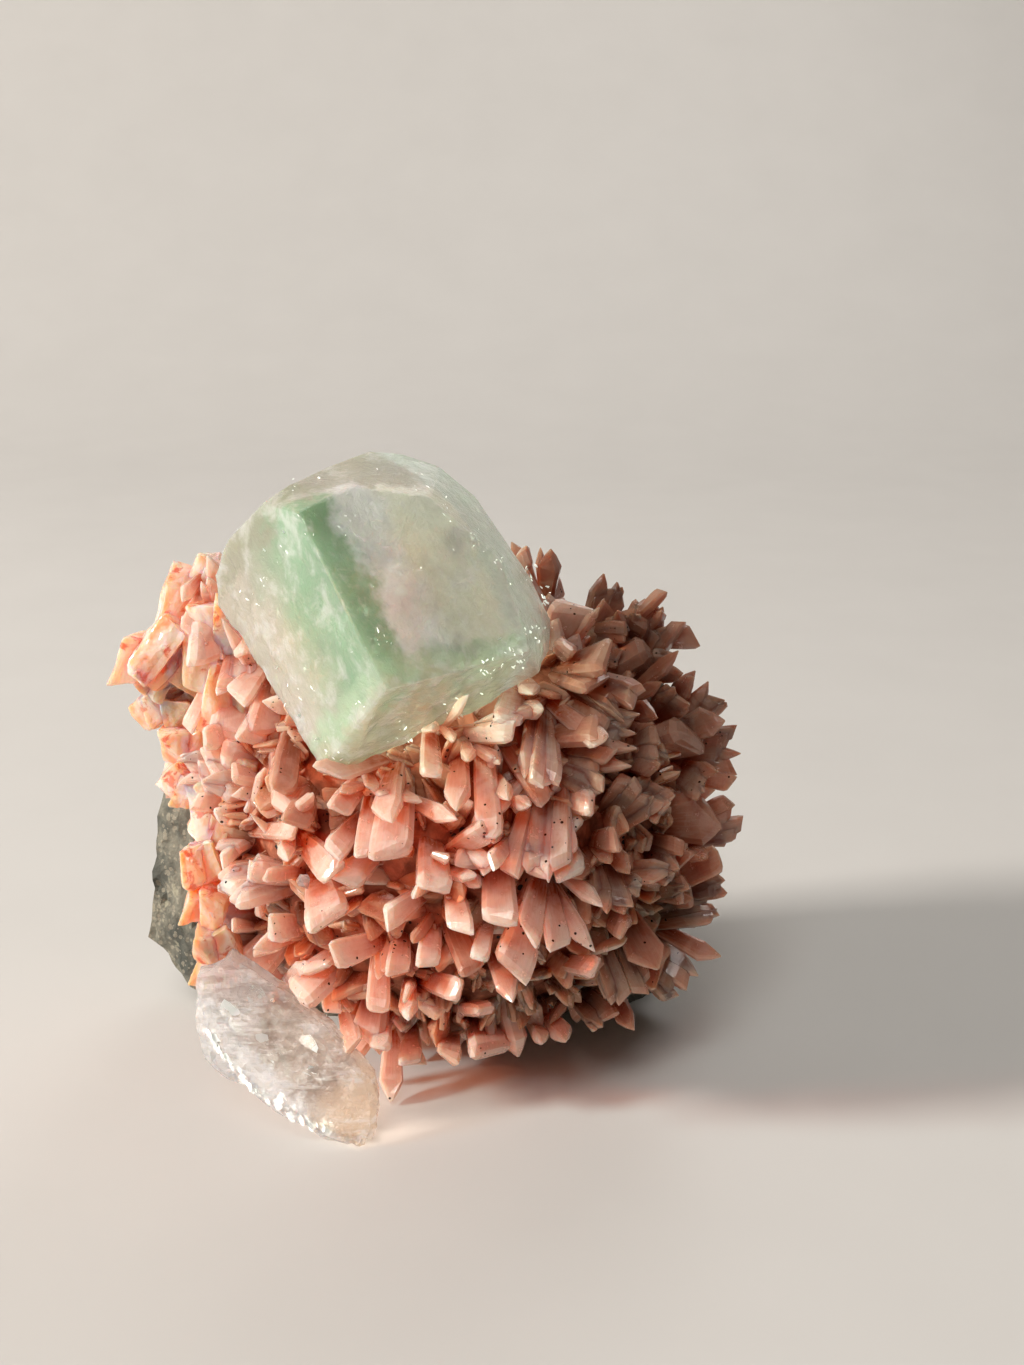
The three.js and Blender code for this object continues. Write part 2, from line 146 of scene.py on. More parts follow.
# Blades that can be told apart: root and tip in picture pixels, width in mm, ending
SHOWN_BLADES = [
    # Middle of the face
    (427, 740, 420, 779, 2.2, BLUNT), (462, 762, 466, 812, 2.6, POINTED),
    (485, 748, 495, 838, 2.6, BLUNT), (510, 838, 483, 858, 1.8, SLANTED),
    (498, 780, 508, 797, 1.7, POINTED), (540, 725, 535, 788, 3.5, BLUNT),
    (548, 797, 540, 883, 4.4, SLANTED), (565, 845, 578, 880, 3.2, SLANTED),
    (520, 845, 536, 882, 2.2, POINTED), (372, 808, 374, 857, 2.0, BLUNT),
    (400, 790, 398, 862, 4.2, BLUNT), (415, 802, 457, 822, 1.9, POINTED),
    (455, 845, 480, 825, 2.4, SLANTED), (432, 850, 437, 893, 3.4, BLUNT),
    (420, 895, 385, 922, 2.4, SLANTED), (495, 868, 492, 928, 3.6, BLUNT),
    (487, 930, 482, 962, 1.9, BLUNT), (535, 900, 517, 985, 4.0, SLANTED),
    (553, 888, 588, 955, 2.1, POINTED), (370, 860, 345, 885, 3.0, SLANTED),
    (355, 785, 333, 806, 2.5, BLUNT), (355, 825, 328, 855, 2.5, SLANTED),
    (452, 895, 455, 935, 2.6, SLANTED), (508, 800, 530, 805, 1.6, POINTED),
    (515, 693, 512, 728, 2.9, BLUNT), (520, 708, 542, 705, 2.0, POINTED),
    (460, 735, 520, 732, 2.3, SLANTED), (452, 930, 470, 975, 2.8, BLUNT),
    # Upper right
    (555, 640, 585, 600, 4.2, SLANTED), (548, 590, 552, 560, 2.4, POINTED),
    (515, 575, 532, 556, 2.0, SLANTED), (597, 625, 612, 588, 2.2, POINTED),
    (640, 650, 658, 610, 3.6, SLANTED), (622, 645, 628, 608, 2.4, POINTED),
    (650, 640, 668, 640, 2.0, SLANTED), (650, 672, 677, 665, 2.2, SLANTED),
    (655, 715, 680, 690, 2.4, POINTED), (680, 720, 703, 692, 3.2, SLANTED),
    (690, 750, 735, 748, 2.8, POINTED), (680, 772, 714, 780, 2.4, SLANTED),
    (575, 690, 627, 720, 4.2, SLANTED), (570, 735, 641, 740, 3.8, BLUNT),
    (565, 765, 611, 778, 2.8, SLANTED), (625, 712, 658, 717, 1.8, POINTED),
    (585, 640, 626, 645, 2.6, BLUNT), (560, 655, 566, 640, 2.4, BLUNT),
    (615, 815, 650, 785, 2.8, SLANTED), (630, 755, 662, 750, 2.2, POINTED),
    # Right and lower right
    (645, 795, 667, 812, 2.1, SLANTED), (570, 800, 592, 805, 2.6, BLUNT),
    (695, 830, 733, 819, 2.9, SLANTED), (690, 850, 703, 858, 1.9, POINTED),
    (650, 850, 683, 860, 2.8, SLANTED), (655, 885, 684, 875, 3.0, BLUNT),
    (612, 880, 640, 893, 2.4, SLANTED), (600, 865, 612, 913, 2.1, POINTED),
    (598, 842, 621, 848, 1.9, SLANTED), (610, 915, 630, 925, 2.0, BLUNT),
    (685, 890, 718, 880, 2.1, SLANTED), (670, 915, 719, 909, 2.6, BLUNT),
    (675, 935, 700, 945, 1.7, POINTED), (650, 955, 690, 985, 3.8, SLANTED),
    (610, 940, 634, 1000, 4.2, SLANTED), (620, 995, 630, 1015, 1.6, POINTED),
    (585, 1000, 612, 1022, 2.3, SLANTED), (565, 965, 592, 975, 2.4, BLUNT),
    (545, 1015, 558, 1043, 2.4, POINTED), (528, 1020, 536, 1044, 1.8, POINTED),
    # Foot
    (380, 960, 378, 1015, 2.4, BLUNT), (348, 1010, 362, 1045, 2.4, SLANTED),
    (382, 1015, 380, 1052, 2.4, BLUNT), (402, 940, 400, 976, 2.4, SLANTED),
    (412, 985, 417, 1018, 2.0, POINTED), (430, 982, 456, 995, 2.5, BLUNT),
    (460, 1008, 480, 1012, 2.2, SLANTED), (495, 962, 512, 1002, 2.3, POINTED),
    (480, 1020, 492, 1058, 4.6, SLANTED), (432, 930, 428, 968, 2.4, BLUNT),
    (328, 980, 335, 1012, 2.0, SLANTED), (412, 1035, 415, 1068, 2.5, SLANTED),
    (390, 1050, 387, 1087, 2.6, POINTED), (322, 885, 328, 930, 4.4, SLANTED),
    (375, 940, 330, 950, 2.9, SLANTED), (450, 1030, 445, 1062, 2.6, SLANTED),
    # Left
    (300, 925, 268, 930, 3.0, SLANTED), (290, 735, 275, 790, 2.8, BLUNT),
    (280, 770, 283, 820, 3.6, POINTED), (310, 795, 300, 828, 3.0, SLANTED),
    (262, 832, 297, 835, 2.0, BLUNT), (288, 835, 280, 862, 1.8, POINTED),
    (298, 868, 266, 867, 1.5, BLUNT), (240, 890, 272, 880, 2.0, SLANTED),
    (310, 845, 340, 872, 3.1, BLUNT), (285, 982, 308, 960, 1.6, POINTED),
    (262, 700, 230, 640, 1.8, POINTED), (245, 665, 235, 690, 2.6, SLANTED),
    (270, 700, 252, 748, 3.1, SLANTED), (240, 725, 205, 738, 2.6, BLUNT),
]

# Broken peach-coloured lumps of the left edge: place in the picture, how far back, half
# width, half height, half depth, turn in the picture plane
BROKEN_LUMPS = [
    (206, 580, -2, 2.6, 3.4, 3.5, 25), (186, 606, -3, 3.0, 5.0, 3.6, 20),
    (152, 662, -4, 3.8, 3.4, 3.4, 40), (176, 652, -5, 4.2, 4.6, 3.6, 30),
    (207, 655, -5, 4.6, 5.2, 4.2, 10), (160, 700, -3, 3.6, 2.4, 3.2, -35),
    (196, 707, -3, 4.4, 3.6, 4.0, -20), (232, 622, -6, 4.0, 4.5, 5.0, 0),
    (236, 690, -6, 4.0, 5.0, 5.0, 0),
    (190, 742, -5, 2.6, 2.6, 4.2, -15), (186, 776, -7, 2.2, 2.4, 4.2, 20),
    (214, 788, -9, 2.8, 3.0, 4.6, -25), (240, 770, -9, 2.6, 3.4, 5.0, 10),
    (212, 820, -11, 2.2, 2.8, 4.6, 15), (209, 856, -12, 2.2, 2.8, 5.2, -10),
    (212, 893, -13, 2.4, 2.9, 5.2, 20), (217, 927, -14, 2.4, 2.8, 5.0, -15),
    (219, 958, -13, 2.4, 2.4, 4.6, 10),
]

# Pink crystals in front of the broken edge: root and tip in picture pixels, how far back the
# root and the tip are, width in mm, ending, and whether it is a ribbed fan
EDGE_BLADES = [
    (226, 640, 185, 655, -8, -12, 4.4, SLANTED, False),
    (262, 690, 216, 625, -10, -12.5, 1.4, POINTED, False),
    (240, 655, 236, 687, -9, -12.5, 2.8, BLUNT, True),
    (215, 678, 192, 735, -8, -11, 1.6, SLANTED, False),
    (232, 692, 220, 748, -8, -12.5, 4.4, BLUNT, False),
    (272, 690, 262, 745, -10, -14, 3.8, SLANTED, False),
    (268, 772, 215, 757, -11, -14, 3.0, BLUNT, False),
    (222, 600, 216, 559, -5, -6, 2.0, POINTED, False),
    (205, 600, 199, 625, -6, -9, 2.2, SLANTED, True),
    (262, 872, 240, 870, -14, -17, 1.8, BLUNT, False),
    (252, 912, 208, 915, -14, -18, 3.0, BLUNT, True),
    (240, 938, 202, 942, -15, -18, 2.6, SLANTED, True),
    (238, 795, 190, 782, -10, -13.5, 2.8, BLUNT, True),
    (226, 765, 176, 772, -9, -11.5, 2.4, SLANTED, True),
    (250, 805, 222, 812, -12, -15.5, 2.0, BLUNT, False),
    (245, 838, 228, 850, -13, -16, 1.6, SLANTED, False),
]
GLINT_PLACE = (303, 880)
GLINT_SIZE = 0.75

# Small blades between the large ones: spacing in mm, smallest and largest scale, tilt in radians
SMALL_SPACING = 2.3
SMALL_SCALES = (0.8, 1.5)
SMALL_TILT = 1.3
SMALL_SEED = 3
SMALL_DENSITY = 2.0e6


# The random rule of the CAD, and places read from the picture
def growth_random(seed):
    state = float(seed)
    while True:
        state = math.fmod(state * 1103515245.0 + 12345.0, 2147483648.0)
        yield state / 2147483648.0


def sight_direction(px, py):
    across = (px - PICTURE_CENTRE[0]) / PICTURE_FOCAL
    up = (PICTURE_CENTRE[1] - py) / PICTURE_FOCAL
    cos, sin = math.cos(EYE_PITCH), math.sin(EYE_PITCH)
    return Vector((across, cos + up * sin, up * cos - sin))


def seen_at_depth(px, py, y):
    sight = sight_direction(px, py)
    return EYE + sight * ((y - EYE.y) / sight.y)


def seen_on_dome(px, py, height):
    radii = DOME_RADII + Vector((height, height, height))
    sight = sight_direction(px, py)
    start = Vector([(EYE[i] - DOME_CENTRE[i]) / radii[i] for i in range(3)])
    along = Vector([sight[i] / radii[i] for i in range(3)])
    a, b, c = along.dot(along), start.dot(along), start.dot(start) - 1
    inside = max(0.0, b * b - a * c)
    return EYE + sight * ((-b - math.sqrt(inside)) / a)


def right_of_break(point):
    return (point - BREAK_POINT).dot(BREAK_OUTWARD)


def clear_blade_depth(py):
    """How far back the clear blade lies at a picture row."""
    top, foot = CLEAR_BLADE_SPAN
    return CLEAR_BLADE_TOP_DEPTH + (CLEAR_BLADE_FOOT_DEPTH - CLEAR_BLADE_TOP_DEPTH) * (
        py - top) / (foot - top)


CLEAR_BLADE_MIDDLE = seen_at_depth(290, 1045, (CLEAR_BLADE_TOP_DEPTH + CLEAR_BLADE_FOOT_DEPTH) / 2)


# The flat faces of a CAD solid, as outward normals and reaches in mm
def faces_of(node):
    mesh = frame["nodes"][node].data
    planes = {}
    for face in mesh.polygons:
        normal = face.normal
        reach = normal.dot(mesh.vertices[face.vertices[0]].co) / MM
        planes[tuple(round(v, 2) for v in normal) + (round(reach, 1),)] = (normal.copy(), reach)
    return list(planes.values())


BLOCK_FACES = faces_of("apophyllite_crystal")
BLOCK_NORMALS = np.array([list(n) for n, _ in BLOCK_FACES])
BLOCK_REACHES = np.array([r for _, r in BLOCK_FACES])


def depth_in_block(points):
    """How deep points in mm lie inside the apophyllite block; negative outside."""
    return (BLOCK_REACHES - np.asarray(points) @ BLOCK_NORMALS.T).min(axis=1)


def seen_on_block(px, py):
    """Where the line of sight of a picture pixel meets the apophyllite block."""
    sight = sight_direction(px, py)
    slope = BLOCK_NORMALS @ np.array(sight)
    reach = (BLOCK_REACHES - BLOCK_NORMALS @ np.array(EYE)) / slope
    return EYE + sight * float(reach[slope < 0].max())


# Crystal meshes
class Crust:
    """Many crystals gathered into one mesh, with the values that the finishes read."""

    def __init__(self):
        self.points, self.faces = [], []
        self.growth, self.tone, self.lines, self.rim = [], [], [], []

    def add_rings(self, rings, growths, lines, tone, rims=None):
        first = len(self.points)
        n = len(rings[0])
        rims = rims or [[0.0] * n] * len(rings)
        for ring, growth, line, rim in zip(rings, growths, lines, rims):
            self.points.extend(Vector((p.x, p.y, max(p.z, FLOOR_GAP))) for p in ring)
            self.growth.extend([growth] * n)
            self.lines.extend(line)
            self.tone.extend([tone] * n)
            self.rim.extend(rim)
        for r in range(len(rings) - 1):
            for k in range(n):
                a = first + r * n + k
                b = first + r * n + (k + 1) % n
                self.faces.append((a, b, b + n, a + n))
        last = first + (len(rings) - 1) * n
        self.faces.append(tuple(first + n - 1 - k for k in range(n)))
        self.faces.append(tuple(last + k for k in range(n)))

    def make(self, name, material):
        mesh = bpy.data.meshes.new(name)
        mesh.from_pydata([tuple(p * MM) for p in self.points], [], self.faces)
        solid = bmesh.new()
        solid.from_mesh(mesh)
        bmesh.ops.recalc_face_normals(solid, faces=solid.faces)
        solid.to_mesh(mesh)
        solid.free()
        for label, values in (("growth", self.growth), ("tone", self.tone), ("rim", self.rim)):
            attribute = mesh.attributes.new(label, "FLOAT", "POINT")
            attribute.data.foreach_set("value", values)
        uv = mesh.uv_layers.new(name="crystal_lines")
        loops = np.zeros(len(mesh.loops), dtype=np.int32)
        mesh.loops.foreach_get("vertex_index", loops)
        uv.data.foreach_set("uv", np.array(self.lines, dtype=np.float32)[loops].ravel())
        mesh.materials.append(material)
        return shown_object(name, mesh)


def shown_object(name, data):
    piece = bpy.data.objects.new(name, data)
    bpy.context.scene.collection.objects.link(piece)
    return piece


def mesh_from(solid, name):
    mesh = bpy.data.meshes.new(name)
    solid.to_mesh(mesh)
    solid.free()
    return mesh


def turned(vector, about, angle):
    return Matrix.Rotation(angle, 3, about) @ vector


def square_to(axis, vector):
    return (vector - axis * vector.dot(axis)).normalized()


def scatter(rng, reach):
    return Vector([rng.uniform(-reach, reach) for _ in range(3)])


def blade_frame(root, tip, twist):
    axis = tip - root
    length = max(axis.length, BLADE_MIN_LENGTH)
    axis.normalize()
    sight = (root - EYE).normalized()
    side = axis.cross(sight)
    if side.length < 0.2:
        side = axis.cross(Vector((0, 0, 1)))
    side = turned(side.normalized(), axis, twist)
    return axis, side, side.cross(axis), length


def add_tablet(crust, base, axis, side, face, length, width, thickness, ending, tone, rng, bow=0.0):
    """A flat-faced tablet that widens outwards, with bevelled rims and a wedge-shaped end."""
    rings, growths, lines, rims = [], [], [], []
    skew = rng.uniform(-0.1, 0.1)
    wedge = rng.uniform(-0.3, 0.3)
    point = rng.uniform(-0.28, 0.28) * width
    hand = rng.choice((-1, 1))
    for share, left, right, lag, fat in ENDINGS[ending]:
        half = 0.5 * thickness * fat
        left_w, right_w = width * left, width * right
        bevel = min(RIM_BEVEL * width, 0.4 * (left_w + right_w))
        left_half, right_half = half * (1 + wedge), half * (1 - wedge)
        middle = base + axis * (length * share) + face * (bow * length * share * share)
        shift = skew * length * share
        if ending == POINTED and share > 0.8:
            shift += point * (share - 0.8) / 0.2
        middle = middle + side * shift
        outline = [(bevel - left_w, left_half), (right_w - bevel, right_half),
                   (right_w, right_half * 0.5), (right_w, -right_half * 0.5),
                   (right_w - bevel, -right_half), (bevel - left_w, -left_half),
                   (-left_w, -left_half * 0.5), (-left_w, left_half * 0.5)]
        ring = []
        for x, y in outline:
            back = lag * width * (0.5 - hand * x / width)
            ring.append(middle + side * x + face * y - axis * back)
        rings.append(ring)
        growths.append(share)
        lines.append([(x + 3 * tone, share * length) for x, y in outline])
        # Rim weights, where the finishes paint the glow of light through the thin edges
        rims.append([0.45 if share == 1 else edge for edge in (0.0, 0.0, 0.9, 0.9, 0.0, 0.0, 0.9, 0.9)])
    crust.add_rings(rings, growths, lines, tone, rims)


def clear_of_block(root, axis, length):
    """The length that keeps a blade from running into the apophyllite block."""
    for share in (1.0, 0.85, 0.7, 0.55, 0.4):
        reach = np.array([root + axis * (length * share * k) for k in (0.3, 0.6, 1.0)])
        if depth_in_block(reach).max() < 0.4:
            return length * share
    return 0.0


def add_sheaf(crust, root, tip, width, thickness, ending, twist, tone, rng, fanned):
    """One broad blade, or a ribbed fan, with two or three thinner ones grown along it."""
    axis, side, face, length = blade_frame(root, tip, twist)
    length = clear_of_block(root, axis, length)
    if length < 1.2:
        return
    base = root - axis * JOIN_DEPTH
    if fanned:
        add_fan(crust, base, axis, side, face, length, width, thickness, tone, rng)
    else:
        add_tablet(crust, base, axis, side, face, length + JOIN_DEPTH, width, thickness, ending, tone,
                   rng, bow=rng.uniform(-0.03, 0.03))
    for k in range(rng.choice((2, 2, 3))):
        out = rng.choice((-1, 1)) * rng.uniform(0.3, 0.6)
        place = rng.uniform(-0.4, 0.4)
        swing = place * -0.8 + rng.uniform(-0.5, 0.5)
        lean = turned(turned(axis, side, out * 0.8), face, swing)
        across = turned(turned(side, axis, rng.uniform(-0.7, 0.7)), face, swing)
        across = square_to(lean, across)
        start = base + face * (out * thickness) + side * (place * width)
        reach = length * rng.uniform(0.5, 0.88) + JOIN_DEPTH
        if (start + lean * reach).z < min(root.z, tip.z) - 0.8:
            continue
        add_tablet(crust, start, lean, across, across.cross(lean), reach, width * rng.uniform(0.5, 0.85),
                   thickness * rng.uniform(0.5, 0.8), rng.choice((POINTED, SLANTED, ending)),
                   tone + rng.uniform(-0.2, 0.2), rng, bow=rng.uniform(-0.04, 0.04))


def add_fan(crust, base, axis, side, face, length, width, thickness, tone, rng):
    """A broad plate ribbed by narrow crystals grown into it, which give it a serrated end."""
    add_tablet(crust, base, axis, side, face, length * 0.9 + JOIN_DEPTH, width * 1.2,
               thickness * 0.85, SLANTED, tone, rng)
    count = max(2, round(width * 0.75))
    for k in range(count):
        place = (k + 0.5) / count - 0.5
        lean = turned(axis, face, -place * 0.2)
        across = turned(side, face, -place * 0.2)
        start = base + side * (place * width * 0.85) + face * (rng.uniform(-0.1, 0.1) * thickness)
        reach = length * (1.03 - 0.4 * place * place - rng.uniform(0, 0.12)) + JOIN_DEPTH
        add_tablet(crust, start, lean, across, across.cross(lean), reach,
                   width / count * rng.uniform(1.3, 1.6), thickness * rng.uniform(0.8, 1.05),
                   rng.choice((POINTED, SLANTED)), tone + rng.uniform(-0.1, 0.1), rng)


def heulandite_blades():
    """The blades of the dome and of its broken edge: pink ones, and darker ones whose colour partly
    paints the shade of the right-hand side.
    """
    pink, clear = Crust(), Crust()
    rng = random.Random(BLADE_SEED)
    dice = growth_random(FILLER_SEED)
    roots = []
    for root_x, root_y, tip_x, tip_y, width, ending in SHOWN_BLADES:
        root = seen_on_dome(root_x, root_y, 0)
        outermost = seen_on_dome(tip_x, tip_y, BLADE_REACH).y
        depth = min(max(outermost, root.y - BLADE_LEAN_FORWARD), root.y + BLADE_LEAN_BACK)
        tip = seen_at_depth(tip_x, tip_y, depth)
        twist = (next(dice) - 0.5) * 0.7
        rim = tip_x > FAN_SIDE or rng.random() < 0.12
        fanned = width > 2.0 and (tip_x > FAN_SIDE or (width > 3 and rng.random() < 0.3))
        wide = width * (RIGHT_SWELL if tip_x > FAN_SIDE else 1.0)
        add_sheaf(clear if rim else pink, root, tip, wide, 0.75 + width * 0.3, ending, twist,
                  rng.random(), rng, fanned)
        roots.append(root)
    add_fillers(pink, clear, roots, rng)
    for root_x, root_y, tip_x, tip_y, root_y_mm, tip_y_mm, width, ending, fanned in EDGE_BLADES:
        root = seen_at_depth(root_x, root_y, root_y_mm)
        tip = seen_at_depth(tip_x, tip_y, tip_y_mm)
        add_sheaf(pink, root, tip, width, 0.6 + width * 0.34, ending, rng.uniform(-0.4, 0.4),
                  rng.uniform(0.4, 1.0), rng, fanned)
    return pink, clear


def add_fillers(pink, clear, taken, rng):
    dice = growth_random(FILLER_SEED + 1)
    turn = math.pi * (3 - math.sqrt(5))
    for i in range(FILLER_COUNT):
        height = 1 - (2 * (i + 0.5)) / FILLER_COUNT
        ring = math.sqrt(1 - height * height)
        outward = Vector((math.cos(i * turn) * ring, math.sin(i * turn) * ring, height))
        root = Vector([outward[k] * DOME_RADII[k] + DOME_CENTRE[k] for k in range(3)])
        lean = Vector((next(dice) - 0.5, next(dice) - 0.5, next(dice) - 0.5))
        length = BLADE_REACH * (0.55 + 0.4 * next(dice))
        width = 3 + 2.4 * next(dice)
        ending = int(next(dice) * 3)
        twist = next(dice) * math.pi
        tip = root + (outward + lean * 0.7).normalized() * length
        crowded = any((other - root).length < FILLER_SPACING for other in taken)
        if crowded or root.y > SLAB_MIDDLE_DEPTH or right_of_break(root) < 0:
            continue
        crust = clear if root.x > PALE_SIDE or rng.random() < 0.08 else pink
        fanned = rng.random() < (0.6 if root.x > PALE_SIDE else 0.2)
        swell = RIGHT_SWELL if root.x > PALE_SIDE else FILLER_SWELL
        add_sheaf(crust, root, tip, width * swell, 0.9 + width * 0.33, ending, twist * 0.5,
                  rng.random(), rng, fanned)


def add_broken_slab(solid, centre, along, across, sizes, rng):
    """One cleaved slab: a hull with a ribbed, slightly swollen surface."""
    through = along.cross(across)
    slab = bmesh.new()
    corners = []
    for k in range(14):
        x, y, z = (1 if k & 1 else -1), (1 if k & 2 else -1), (1 if k & 4 else -1)
        spread = (rng.uniform(0.3, 1.05), rng.uniform(0.35, 1.0), rng.uniform(0.5, 1.05))
        corners.append(slab.verts.new(centre + across * (x * sizes[0] * spread[0])
                                      + through * (y * sizes[1] * spread[1])
                                      + along * (z * sizes[2] * spread[2])))
    bmesh.ops.convex_hull(slab, input=corners)
    inner = [v for v in slab.verts if not v.link_faces]
    bmesh.ops.delete(slab, geom=inner, context="VERTS")
    bmesh.ops.dissolve_limit(slab, angle_limit=math.radians(4), verts=slab.verts, edges=slab.edges)
    bmesh.ops.bevel(slab, geom=list(slab.edges), offset=0.16, segments=1, affect="EDGES",
                    clamp_overlap=True)
    split_long_edges(slab, 0.6, 4)
    slab.normal_update()
    for vert in slab.verts:
        spot = vert.co - centre
        lengthwise = Vector((spot.dot(across) * 1.3, spot.dot(through) * 1.3, spot.dot(along) * 0.16))
        ribs = noise.fractal(lengthwise + centre, 0.8, 2.1, 3) * 0.16
        vert.co += vert.normal * (ribs + noise.noise(vert.co * 0.3) * 0.3 - 0.1)
    grown = mesh_from(slab, "slab")
    solid.from_mesh(grown)
    bpy.data.meshes.remove(grown)


def broken_edge(material):
    """The broken peach-coloured mass of the knob and the left edge: slabs cleaved side by side."""
    solid = bmesh.new()
    rng = random.Random(SLAB_SEED)
    for px, py, y, half_wide, half_tall, half_deep, turn in BROKEN_LUMPS:
        middle = seen_at_depth(px, py, y)
        pieces = 3 if half_wide > 3 else 2
        for k in range(pieces):
            place = (k + 0.5) / pieces - 0.5
            angle = math.radians(turn + rng.uniform(-14, 14))
            along = Vector((math.sin(angle), rng.uniform(-0.2, 0.2), math.cos(angle))).normalized()
            across = square_to(along, Vector((math.cos(angle), 0, -math.sin(angle))))
            centre = middle + across * (place * 1.3 * half_wide)
            centre = centre + Vector((0, rng.uniform(-0.25, 0.15) * half_deep, 0))
            sizes = (half_wide * 1.6 / pieces, half_deep * 0.95, half_tall * rng.uniform(0.85, 1.0))
            add_broken_slab(solid, centre, along, across, sizes, rng)
    for vert in solid.verts:
        vert.co.z = max(vert.co.z, FLOOR_GAP)
    return finished_piece("heulandite_broken_edge", solid, material)


def glint_crystal(material):
    """A small clear crystal in a recess on the left, a stubby double pyramid."""
    px, py = GLINT_PLACE
    middle = seen_on_dome(px, py, BLADE_REACH * 0.55)
    solid = bmesh.new()
    axis = Vector((-0.2, -0.5, 0.84)).normalized()
    side = axis.orthogonal().normalized()
    across = axis.cross(side)
    waist = [middle + side * (x * GLINT_SIZE) + across * (y * GLINT_SIZE)
             for x, y in ((1, 0), (0.6, 0.8), (-0.6, 0.8), (-1, 0), (-0.6, -0.8), (0.6, -0.8))]
    ends = [middle + axis * GLINT_SIZE * 1.3, middle - axis * GLINT_SIZE * 2.2]
    made = [solid.verts.new(point) for point in waist + ends]
    bmesh.ops.convex_hull(solid, input=made)
    return finished_piece("clear_glint_crystal", solid, material)


# Shader and geometry nodes
class Tree:
    """A node tree, with the kinds of node that the finishes share."""

    def __init__(self, tree):
        self.nodes, self.links = tree.nodes, tree.links

    def link(self, output, socket):
        self.links.new(output, socket)

    def add(self, kind, inputs=None, **settings):
        """A new node; each input gets a link where its value is an output, or the plain value."""
        node = self.nodes.new(kind)
        for name, value in settings.items():
            setattr(node, name, value)
        for label, value in (inputs or {}).items():
            socket = node.inputs[label]
            if isinstance(value, bpy.types.NodeSocket):
                self.link(value, socket)
            elif socket.type == "RGBA":
                socket.default_value = (*value, 1)
            else:
                socket.default_value = value
        return node

    def math(self, kind, a, b, clamp=False):
        return self.add("ShaderNodeMath", {0: a, 1: b}, operation=kind, use_clamp=clamp).outputs[0]

    def times(self, a, b, clamp=False):
        return self.math("MULTIPLY", a, b, clamp)

    def plus(self, a, b, clamp=False):
        return self.math("ADD", a, b, clamp)

    def vector(self, kind, a, b):
        return self.add("ShaderNodeVectorMath", {0: a, 1: b}, operation=kind).outputs

    def dot(self, vector, direction):
        return self.vector("DOT_PRODUCT", vector, direction)["Value"]

    def ramp(self, value, low, high):
        return self.add("ShaderNodeMapRange", {"Value": value, "From Min": low, "From Max": high},
                        interpolation_type="SMOOTHSTEP").outputs["Result"]

    def mix(self, share, a, b):
        return self.add("ShaderNodeMix", {0: share, 6: a, 7: b}, data_type="RGBA").outputs[2]

    def noise(self, vector, scale, detail=3.0, rough=0.55, distortion=0.0):
        inputs = {"Vector": vector, "Scale": scale, "Detail": detail, "Roughness": rough,
                  "Distortion": distortion}
        return self.add("ShaderNodeTexNoise", inputs).outputs["Fac"]

    def wobble(self, place, scale, reach):
        """Noise around 0, to shift a border."""
        return self.times(self.math("SUBTRACT", self.noise(place, scale, 4.0, 0.6), 0.5), reach)

    def leaning(self, place, turn, scale):
        """A place turned about the y axis by an angle in degrees, and stretched."""
        inputs = {"Vector": place, "Rotation": (0, math.radians(turn), 0), "Scale": scale}
        return self.add("ShaderNodeMapping", inputs).outputs["Vector"]

    def attribute(self, name):
        return self.add("ShaderNodeAttribute", attribute_name=name).outputs["Fac"]

    def uv(self):
        return self.add("ShaderNodeUVMap", uv_map="crystal_lines").outputs["UV"]

    def group(self, group, **inputs):
        return self.add("ShaderNodeGroup", inputs, node_tree=group).outputs

    def bump(self, shader, height, strength, distance):
        node = self.add("ShaderNodeBump", {"Strength": strength, "Distance": distance, "Height": height})
        self.link(node.outputs["Normal"], shader.inputs["Normal"])

    def let_lamps_through(self, shader, tint):
        """Tinted light from the lamps reaches what lies in and behind the crystal."""
        clear = self.add("ShaderNodeBsdfTransparent", {"Color": tint})
        shadow = self.add("ShaderNodeLightPath").outputs["Is Shadow Ray"]
        mixed = self.add("ShaderNodeMixShader", {0: shadow, 1: shader.outputs[0], 2: clear.outputs[0]})
        self.link(mixed.outputs[0], self.nodes["Material Output"].inputs["Surface"])


def new_group(name, vectors, numbers, outputs):
    """A shader node group with named vector inputs, number inputs with values, and outputs."""
    group = bpy.data.node_groups.new(name, "ShaderNodeTree")
    for label in vectors:
        group.interface.new_socket(label, in_out="INPUT", socket_type="NodeSocketVector")
    for label, value in numbers.items():
        socket = group.interface.new_socket(label, in_out="INPUT", socket_type="NodeSocketFloat")
        socket.default_value = value
    for label in outputs:
        group.interface.new_socket(label, in_out="OUTPUT", socket_type="NodeSocketFloat")
    tree = Tree(group)
    return group, tree, tree.add("NodeGroupInput").outputs, tree.add("NodeGroupOutput").inputs


def cloud_group():
    """Soft cloudy mask, for milky zones and stains."""
    group, tree, given, out = new_group(
        "milky_clouds", ["Place"], {"Scale": 300.0, "Low": 0.42, "High": 0.62}, ["Mask"])
    broad = tree.noise(given["Place"], given["Scale"], 4.0, 0.6, 0.4)
    tree.link(tree.ramp(broad, given["Low"], given["High"]), out["Mask"])
    return group


def speck_group():
    """Scattered grains, dark ones on the crystals and pale ones in the basalt."""
    group, tree, given, out = new_group(
        "dark_specks", ["Place"], {"Scale": 900.0, "Size": 0.14, "Patch": 0.5}, ["Mask"])
    cells = tree.add("ShaderNodeTexVoronoi", {"Vector": given["Place"], "Scale": given["Scale"]})
    uneven = tree.add("ShaderNodeSeparateColor", {0: cells.outputs["Color"]})
    reach = tree.times(given["Size"], tree.times(uneven.outputs[0], 1.7))
    grain = tree.math("LESS_THAN", cells.outputs["Distance"], reach)
    patch = tree.noise(given["Place"], 160.0, 3.0, 0.6)
    near = tree.math("GREATER_THAN", patch, given["Patch"])
    tree.link(tree.times(grain, near), out["Mask"])
    return group


